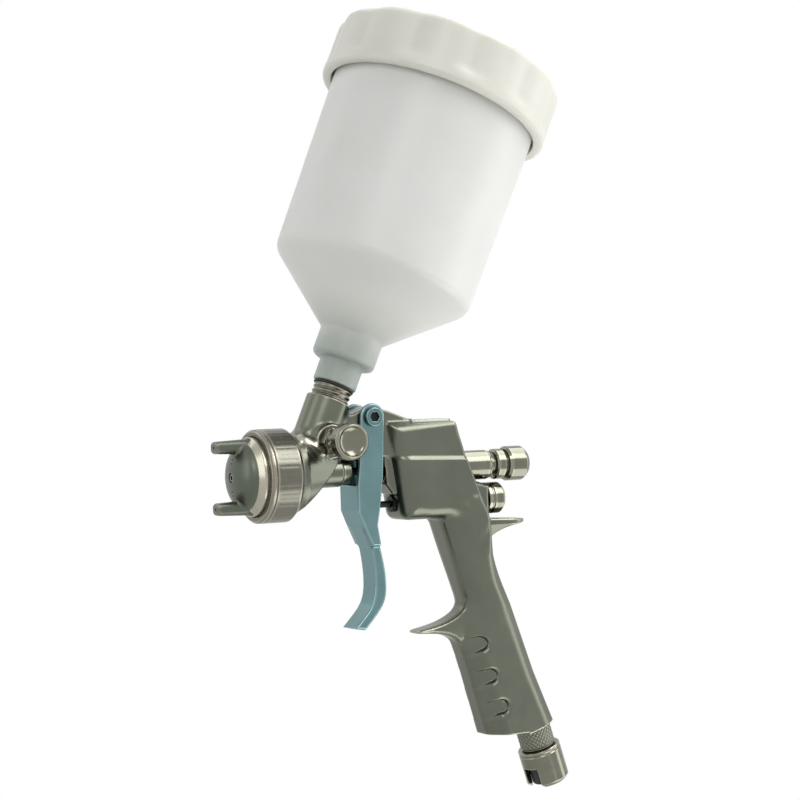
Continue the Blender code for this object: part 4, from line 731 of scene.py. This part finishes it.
# nozzle, needle and their glands
settleTurned("fluidTip", needleFrame, [
    (-64.2, 1.0, 0.2), (-64.2, 1.7, 0.2), (-62.4, 1.7, 0.5), (-49.4, 6.3, 0.4), (-49.4, 8.2, 0.4),
    (-46.0, 8.2, 0.4), (-46.0, 6.0, 0), (-36.0, 6.0, 0), (-36.0, 2.6, 0), (-58.9, 2.6, 0), (-62.4, 1.0, 0)],
    groundSteel, "gun", "fluid_nozzle", 48)
print("head pieces made")
settleTurned("packingNut", needleFrame, [
    (-21.0, 4.5, 0), (-12.2, 4.5, 0), (-12.2, 5.5, 0.4), (-8.0, 5.5, 0.6), (-8.0, 1.95, 0.2),
    (-21.0, 1.95, 0)],
    castNickel, "gun", "packing_nut")
settleTurned("needleCollar", needleFrame, [
    (0.3, 1.95, 0), (1.11, 5.0, 0.3), (5.3, 5.0, 0.4), (5.3, 1.95, 0)],
    turnedBrass, "needle", "needle_collar")
settleTurned("needleGuide", needleFrame, [
    (43.0, 6.8, 0), (62.6, 6.8, 0.3), (63.2, 6.5, 0.2), (64.0, 6.5, 0.3), (64.0, 4.7, 0.2), (43.0, 4.7, 0)],
    turnedNickel, "gun", "needle_guide")
settleTurned("fluidKnob", needleFrame, [
    (47.5, 0, 0), (47.5, 4.4, 0.3), (66.8, 4.4, 0), (66.8, 6.2, 0.3), (67.6, 7.0, 0.4), (71.4, 7.0, 0.4),
    (71.4, 5.8, 0.2), (73.0, 5.8, 0.2), (73.0, 7.2, 0.3), (74.2, 8.0, 0.5), (81.8, 8.0, 0.8),
    (84.0, 6.4, 0.8), (84.0, 3.0, 0.3), (83.4, 2.4, 0.3), (83.4, 0, 0)],
    turnedNickel, "fluid_knob", "fluid_knob", 96)
settleTurned("airValvePlug", valveFrame, [
    (46.33, 4.5, 0), (46.33, 5.1, 0), (56.9, 5.1, 0), (56.9, 5.7, 0), (61.5, 5.7, 0), (61.5, 7.2, 0.4),
    (63.2, 7.2, 0.2), (63.6, 6.8, 0.15), (64.4, 6.8, 0.15), (64.8, 7.2, 0.2), (69.0, 7.2, 0.6),
    (70.3, 6.0, 0.5), (70.3, 2.6, 0.3), (69.3, 2.2, 0.2), (69.3, 0, 0), (57.3, 0, 0), (57.3, 4.5, 0)],
    turnedNickel, "gun", "air_valve_plug", 96)
settleTurned("stemGland", valveFrame, [
    (12.9, 3.8, 0.4), (15.9, 3.8, 0), (15.9, 2.8, 0), (25.0, 2.8, 0), (25.0, 1.7, 0), (12.9, 1.7, 0.2)],
    darkSteelAndPaintedShade, "gun", "stem_gland")
print("needle and valve lines made")


# the fan valve on the near side: hexagon bushing and a dished knob
hexLook = {"out": (13.3, 17.5), "flat": 5.72, "outside": 5.7, "slack": 0.1}


def hexShape(angle, along, radius):
    low, high = hexLook["out"]
    slack = hexLook["slack"]
    if radius < hexLook["outside"] or not low - slack <= along <= high + slack:
        return 0.0
    turned = (angle + pi / 6) % (pi / 3) - pi / 6
    return min(0.0, hexLook["flat"] / cos(turned) - radius)


settleTurned("fanBushing", fanFrame, [
    (5.8, 4.5, 0), (13.3, 4.5, 0), (13.3, 6.2, 0.1), (13.8, 6.6, 0.2), (17.0, 6.6, 0.2), (17.5, 6.2, 0.1),
    (17.5, 5.4, 0.2), (21.4, 5.4, 0.3), (22.0, 4.9, 0.2), (22.0, 2.9, 0.1), (5.8, 2.9, 0)],
    turnedNickel, "gun", "fan_bushing", 96, hexShape)
settleTurned("fanORing", fanFrame, [
    (22.9, 2.9, 0.3), (22.9, 4.2, 0.6), (24.5, 4.2, 0.6), (24.5, 2.9, 0.3)],
    nitrileRubber, "fan_ring", "fan_ring")
settleTurned("fanKnob", fanFrame, [
    (24.8, 2.9, 0.1), (24.8, 6.6, 0.5), (26.2, 8.0, 0.7), (31.2, 8.0, 0.5), (32.2, 7.1, 0.4),
    (32.1, 6.6, 0.2),
    *((32.1 - 2.1 * cos(a), 6.5 * sin(a), 0) for a in (radians(d) for d in range(72, 0, -9))),
    (30.0, 0, 0), (29.2, 0, 0), (29.2, 2.9, 0)],
    turnedNickel, "fan_knob", "fan_knob", 96)
print("fan valve made")


# pivot screw with a hex socket, and the stud it goes into
screwLook = {
    "step": 0.16, "head": (9.3, 11.1, 4.2), "shank": (-0.3, 9.6, 1.3), "socketHalf": 2.08,
    "socketFloor": 9.9, "paintedShadeWithin": 2.45, "paintedShadeFrom": (9.7, 10.95),
}


def screwField(x, y, z):
    s, radial = screwLook, np.hypot(x, y)
    one = np.minimum(rodField(z, radial, *s["head"], 0.5), rodField(z, radial, *s["shank"]))
    across = [np.abs(x * cos(a) + y * sin(a)) for a in (0, pi / 3, 2 * pi / 3)]
    hexagon = np.maximum(np.maximum(across[0], across[1]), across[2]) - s["socketHalf"]
    return np.maximum(one, -np.maximum(hexagon, s["socketFloor"] - z))


screw = castMesh("triggerScrew", screwField, (-5, -5, -1.2), (5, 5, 12), screwLook["step"], pivotFrame,
                 screwSteelLeverReflection)
screw.data.materials.append(darkSteelAndPaintedShade)
shadeLow, shadeHigh = screwLook["paintedShadeFrom"]
for face in screw.data.polygons:  # the socket is painted dark: painted shade in the hole
    spot = face.center
    if spot.xy.length < screwLook["paintedShadeWithin"] * mm and shadeLow * mm < spot.z < shadeHigh * mm:
        face.material_index = 1
settle(screw, "gun", "trigger_screw")
settleTurned("triggerStud", pivotFrame, [
    (-11.1, 0, 0), (-11.1, 3.4, 0.4), (-10.4, 4.2, 0.4), (-9.3, 4.2, 0.1), (-9.3, 2.4, 0), (8.7, 2.4, 0),
    (8.7, 1.5, 0), (-0.6, 1.5, 0), (-0.6, 0, 0)], groundSteel, "gun", "trigger_stud")


# the cup's threaded nipple, gasket, cup and lid
threadLook = {"pitch": 2.2, "deep": 0.7, "from": (0.3, 5.5), "run": 0.5, "outside": 8.2}


def threadShape(angle, along, radius):
    low, high = threadLook["from"]
    if radius < threadLook["outside"] or not low < along < high:
        return 0.0
    phase = (along / threadLook["pitch"] - angle / (2 * pi)) % 1.0
    fade = min(1.0, (along - low) / threadLook["run"], (high - along) / threadLook["run"])
    return -threadLook["deep"] * fade * abs(2 * phase - 1)


settleTurned("cupNipple", cupFrame, [
    (-13.0, 6.5, 0), (0.3, 6.5, 0), (0.3, 8.7, 0.2), (5.5, 8.7, 0.2), (5.5, 7.2, 0.1), (21.1, 7.2, 0.5),
    (21.1, 4.8, 0.3), (-13.0, 4.8, 0)], ringNickel, "gun", "cup_adapter", 96, threadShape, 0.16)
settleTurned("cupGasket", cupFrame, [
    (5.8, 7.5, 0.1), (5.8, 9.1, 0.3), (6.7, 9.1, 0.3), (6.7, 7.5, 0.1)],
    nitrileRubber, "cup_gasket", "cup_gasket", 96)
settleTurned("paintCup", cupFrame, [
    (7.0, 9.8, 0.8), (18.0, 9.8, 1.2), (18.0, 14.3, 2.2), (30.8, 14.3, 2.5), (58.3, 45.4, 5.5),
    (161.3, 47.9, 0.6), (161.3, 46.1, 0.6), (59.2, 43.6, 4.5), (32.6, 12.5, 2.0), (29.0, 12.5, 0.8),
    (29.0, 7.5, 0.3), (7.0, 7.5, 0.4)],
    milkyPolyethylene, "cup", "paint_cup", 160, None, 4.0)

lidLook = {"lobes": 12, "deep": 1.7, "soft": 0.04, "outside": (48.9, 1.8), "from": (145.5, 2.5)}


def lidShape(angle, along, radius):
    share = 1.0  # none on the inside and at the lower rim
    for value, (start, run) in ((radius, lidLook["outside"]), (along, lidLook["from"])):
        share *= min(1.0, max(0.0, (value - start) / run))
    wave = (cos(lidLook["lobes"] * angle / 2) ** 2 + lidLook["soft"]) ** 0.5
    return -lidLook["deep"] * share * (1 - wave / (1 + lidLook["soft"]) ** 0.5)


settleTurned("cupLid", cupFrame, [
    (140.7, 48.5, 0.8), (140.7, 52.8, 2.0), (167.5, 52.8, 3.2), (167.5, 44.5, 0.6), (166.4, 43.4, 0.6),
    (166.4, 9.0, 0.6), (167.4, 8.0, 0.4), (167.4, 5.2, 0.2), (165.9, 5.2, 0), (165.9, 3.2, 0),
    (164.5, 3.2, 0), (164.5, 48.5, 0)],
    whitePolypropylene, "lid", "cup_lid", 288, lidShape, 2.0)
settleTurned("ventPlug", cupFrame, [
    (164.5, 0, 0), (164.5, 3.0, 0.3), (166.2, 3.0, 0), (166.2, 5.0, 0.1), (167.5, 5.0, 0.4), (167.5, 0, 0)],
    milkyPolyethylene, "vent_plug", "vent_plug", 48)
print("cup and lid made")


# the air inlet: knurled nipple, bayonet sleeve with its cut-out, black bush
knurlLook = {"count": 24, "pitch": 2.2, "deep": 0.45, "from": (-2.6, 6.0), "outside": 8.0}


def knurlShape(angle, along, radius):
    low, high = knurlLook["from"]
    if radius < knurlLook["outside"] or not low < along < high:
        return 0.0
    around, up = knurlLook["count"] * angle / (2 * pi), along / knurlLook["pitch"]
    a, b = (around + up) % 1.0, (around - up) % 1.0
    return -knurlLook["deep"] * max(abs(2 * a - 1), abs(2 * b - 1)) ** 2


settleTurned("inletNipple", inletFrame, [
    (-9.0, 5.5, 0), (-3.4, 5.5, 0), (-3.4, 8.2, 0.2), (6.2, 8.2, 0.2), (6.5, 7.7, 0.1), (6.9, 7.7, 0.1),
    (7.3, 8.2, 0.2), (7.3, 7.2, 0.1), (13.3, 7.2, 0), (13.3, 3.5, 0), (-9.0, 3.5, 0)],
    capNickel, "gun", "inlet_nipple", 216, knurlShape, 0.2)

sleeveLook = {
    "step": 0.22, "wall": (8.75, 1.25), "mid": 16.35, "half": 8.75, "edge": 0.6,
    "outer": 10.0, "chamferZ": 23.4, "groove": (10.1, 9.4, 0.5),
    "cutWide": 8.5, "cutLow": 15.6, "cutTurn": radians(12.0),
}


def sleeveField(x, y, z):
    s, radial = sleeveLook, np.hypot(x, y)
    one = slab(np.abs(radial - s["wall"][0]) - s["wall"][1], z - s["mid"], s["half"], s["edge"])
    one = np.maximum(one, (radial - s["outer"] + z - s["chamferZ"]) * 0.7071)  # chamfer at 45 degrees
    grooveRadius, grooveZ, grooveRound = s["groove"]
    one = np.maximum(one, grooveRound - np.hypot(radial - grooveRadius, z - grooveZ))
    ahead = Vector((-cos(s["cutTurn"]), -sin(s["cutTurn"]), 0))
    ahead = inletFrame.inverted().to_3x3() @ ahead
    ahead.z = 0
    ahead.normalize()
    out = x * ahead.x + y * ahead.y
    off = x * ahead.y - y * ahead.x
    window = np.maximum(np.abs(off) - s["cutWide"] / 2, s["cutLow"] - z)
    return carve(one, slab(window, out - s["outer"], s["outer"], 0.0), 0.5)


sleeve = castMesh("inletSleeve", sleeveField, (-11, -11, 6.5), (11, 11, 26), sleeveLook["step"], inletFrame,
                  turnedNickel)
settle(sleeve, "inlet_sleeve", "inlet_sleeve")
settleTurned("inletBush", inletFrame, [
    (13.6, 7.2, 0.3), (24.3, 7.2, 0.8), (24.3, 4.0, 0.5), (13.6, 4.0, 0)],
    nitrileRubber, "gun", "inlet_seal", 64)
print("inlet made")


# CAD pieces that stay, mostly inside, with their finishes
kept = {
    "air_baffle": turnedBrass, "cap_seal": whitePtfe, "fluid_needle": groundSteel,
    "needle_packing": whitePtfe, "needle_lock_nut": turnedBrass, "needle_spring": groundSteel,
    "stop_pad": groundSteel,
    "air_valve_stem": darkSteelAndPaintedShade, "air_valve_disc": nitrileRubber, "air_valve_seat": turnedBrass,
    "air_valve_spring": groundSteel, "stem_packing": whitePtfe, "fan_needle": groundSteel,
    "paint_strainer": whitePolypropylene, "lid_seal": whitePtfe,
}
for node, finish in kept.items():
    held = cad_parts[node]
    held.data.materials.clear()
    held.data.materials.append(finish)


# plain soft studio: white all round, a large key above, strips to edge the metal
studio = {
    "floorZ": -0.33, "floorReach": 1.1, "floorFade": (0.35, 0.95), "floorSides": 64,
    # place, width, height, brightness: what a mirror facing it would show
    "lamps": [("topLamp", (0.52, -0.06, 1.10), 1.2, 0.5, 3.4),
              ("browLamp", (0.51, -0.71, 0.80), 0.5, 0.55, 5.0),
              ("keyLamp", (-0.65, -1.0, 0.95), 0.45, 0.45, 5.0),
              ("sideLamp", (-1.12, 0.02, 0.44), 0.4, 0.8, 1.5),
              ("rimLamp", (-0.6, 0.85, 0.75), 0.5, 0.5, 0.9),
              ("rightLamp", (0.99, -0.37, 0.16), 0.35, 0.9, 2.2),
              ("lowLamp", (0.17, -0.14, -0.31), 0.5, 0.42, 2.2)],
    "ambient": 0.52,
}
for name, spot, wide, tall, bright in studio["lamps"]:
    lamp = bpy.data.lights.new(name, "AREA")
    lamp.shape = "RECTANGLE"
    lamp.size, lamp.size_y, lamp.energy = wide, tall, bright * pi * wide * tall
    holder = bpy.data.objects.new(name, lamp)
    aimAt = Vector(shot["aim"]) - Vector(spot)
    holder.matrix_world = Matrix.Translation(spot) @ aimAt.to_track_quat("-Z", "Y").to_matrix().to_4x4()
    holder.visible_camera = False
    bpy.context.scene.collection.objects.link(holder)

world = bpy.data.worlds.new("whiteStudio")
bpy.context.scene.world = world
world.use_nodes = True
tree = world.node_tree
tree.nodes.clear()
ray = addNode(tree, "ShaderNodeLightPath")
seen = addNode(tree, "ShaderNodeMath", {0: ray.outputs["Is Camera Ray"], 1: ray.outputs["Is Glossy Ray"]},
               operation="MAXIMUM")
seen = addNode(tree, "ShaderNodeMath", {0: seen.outputs["Value"], 1: ray.outputs["Is Transmission Ray"]},
               operation="MAXIMUM")
glow = addNode(tree, "ShaderNodeMapRange", {
    "Value": seen.outputs["Value"], "To Min": studio["ambient"], "To Max": 1.0})
sky = addNode(tree, "ShaderNodeBackground", {"Color": (1, 1, 1, 1), "Strength": glow.outputs["Result"]})
addNode(tree, "ShaderNodeOutputWorld", {"Surface": sky.outputs["Background"]})

# the floor takes the shadow, and fades into the white round it
reach, sides = studio["floorReach"], studio["floorSides"]
floorMesh = bpy.data.meshes.new("floor")
rim = [(reach * cos(2 * pi * k / sides), reach * sin(2 * pi * k / sides), 0) for k in range(sides)]
floorMesh.from_pydata(rim, [], [list(range(sides))])
floor = bpy.data.objects.new("floor", floorMesh)
floor.location = (0, 0, studio["floorZ"])
bpy.context.scene.collection.objects.link(floor)
pale, tree, shader = newFinish("paleFloor", Roughness=0.9)
shader.inputs["Base Color"].default_value = ink("#F2F2F0")
floorSpot = addNode(tree, "ShaderNodeTexCoord").outputs["Object"]
distance = addNode(tree, "ShaderNodeVectorMath", {0: floorSpot}, operation="LENGTH")
fadeFrom, fadeTo = (share * reach for share in studio["floorFade"])
fade = addNode(tree, "ShaderNodeMapRange", {
    "Value": distance.outputs["Value"], "From Min": fadeFrom, "From Max": fadeTo},
    interpolation_type="SMOOTHSTEP")
clear = addNode(tree, "ShaderNodeBsdfTransparent")
mixed = addNode(tree, "ShaderNodeMixShader", {
    "Fac": fade.outputs["Result"], 1: shader.outputs["BSDF"], 2: clear.outputs["BSDF"]})
tree.links.new(mixed.outputs["Shader"], tree.nodes["Material Output"].inputs["Surface"])
floorMesh.materials.append(pale)

bpy.context.scene.view_settings.view_transform = "Standard"
print("studio made")
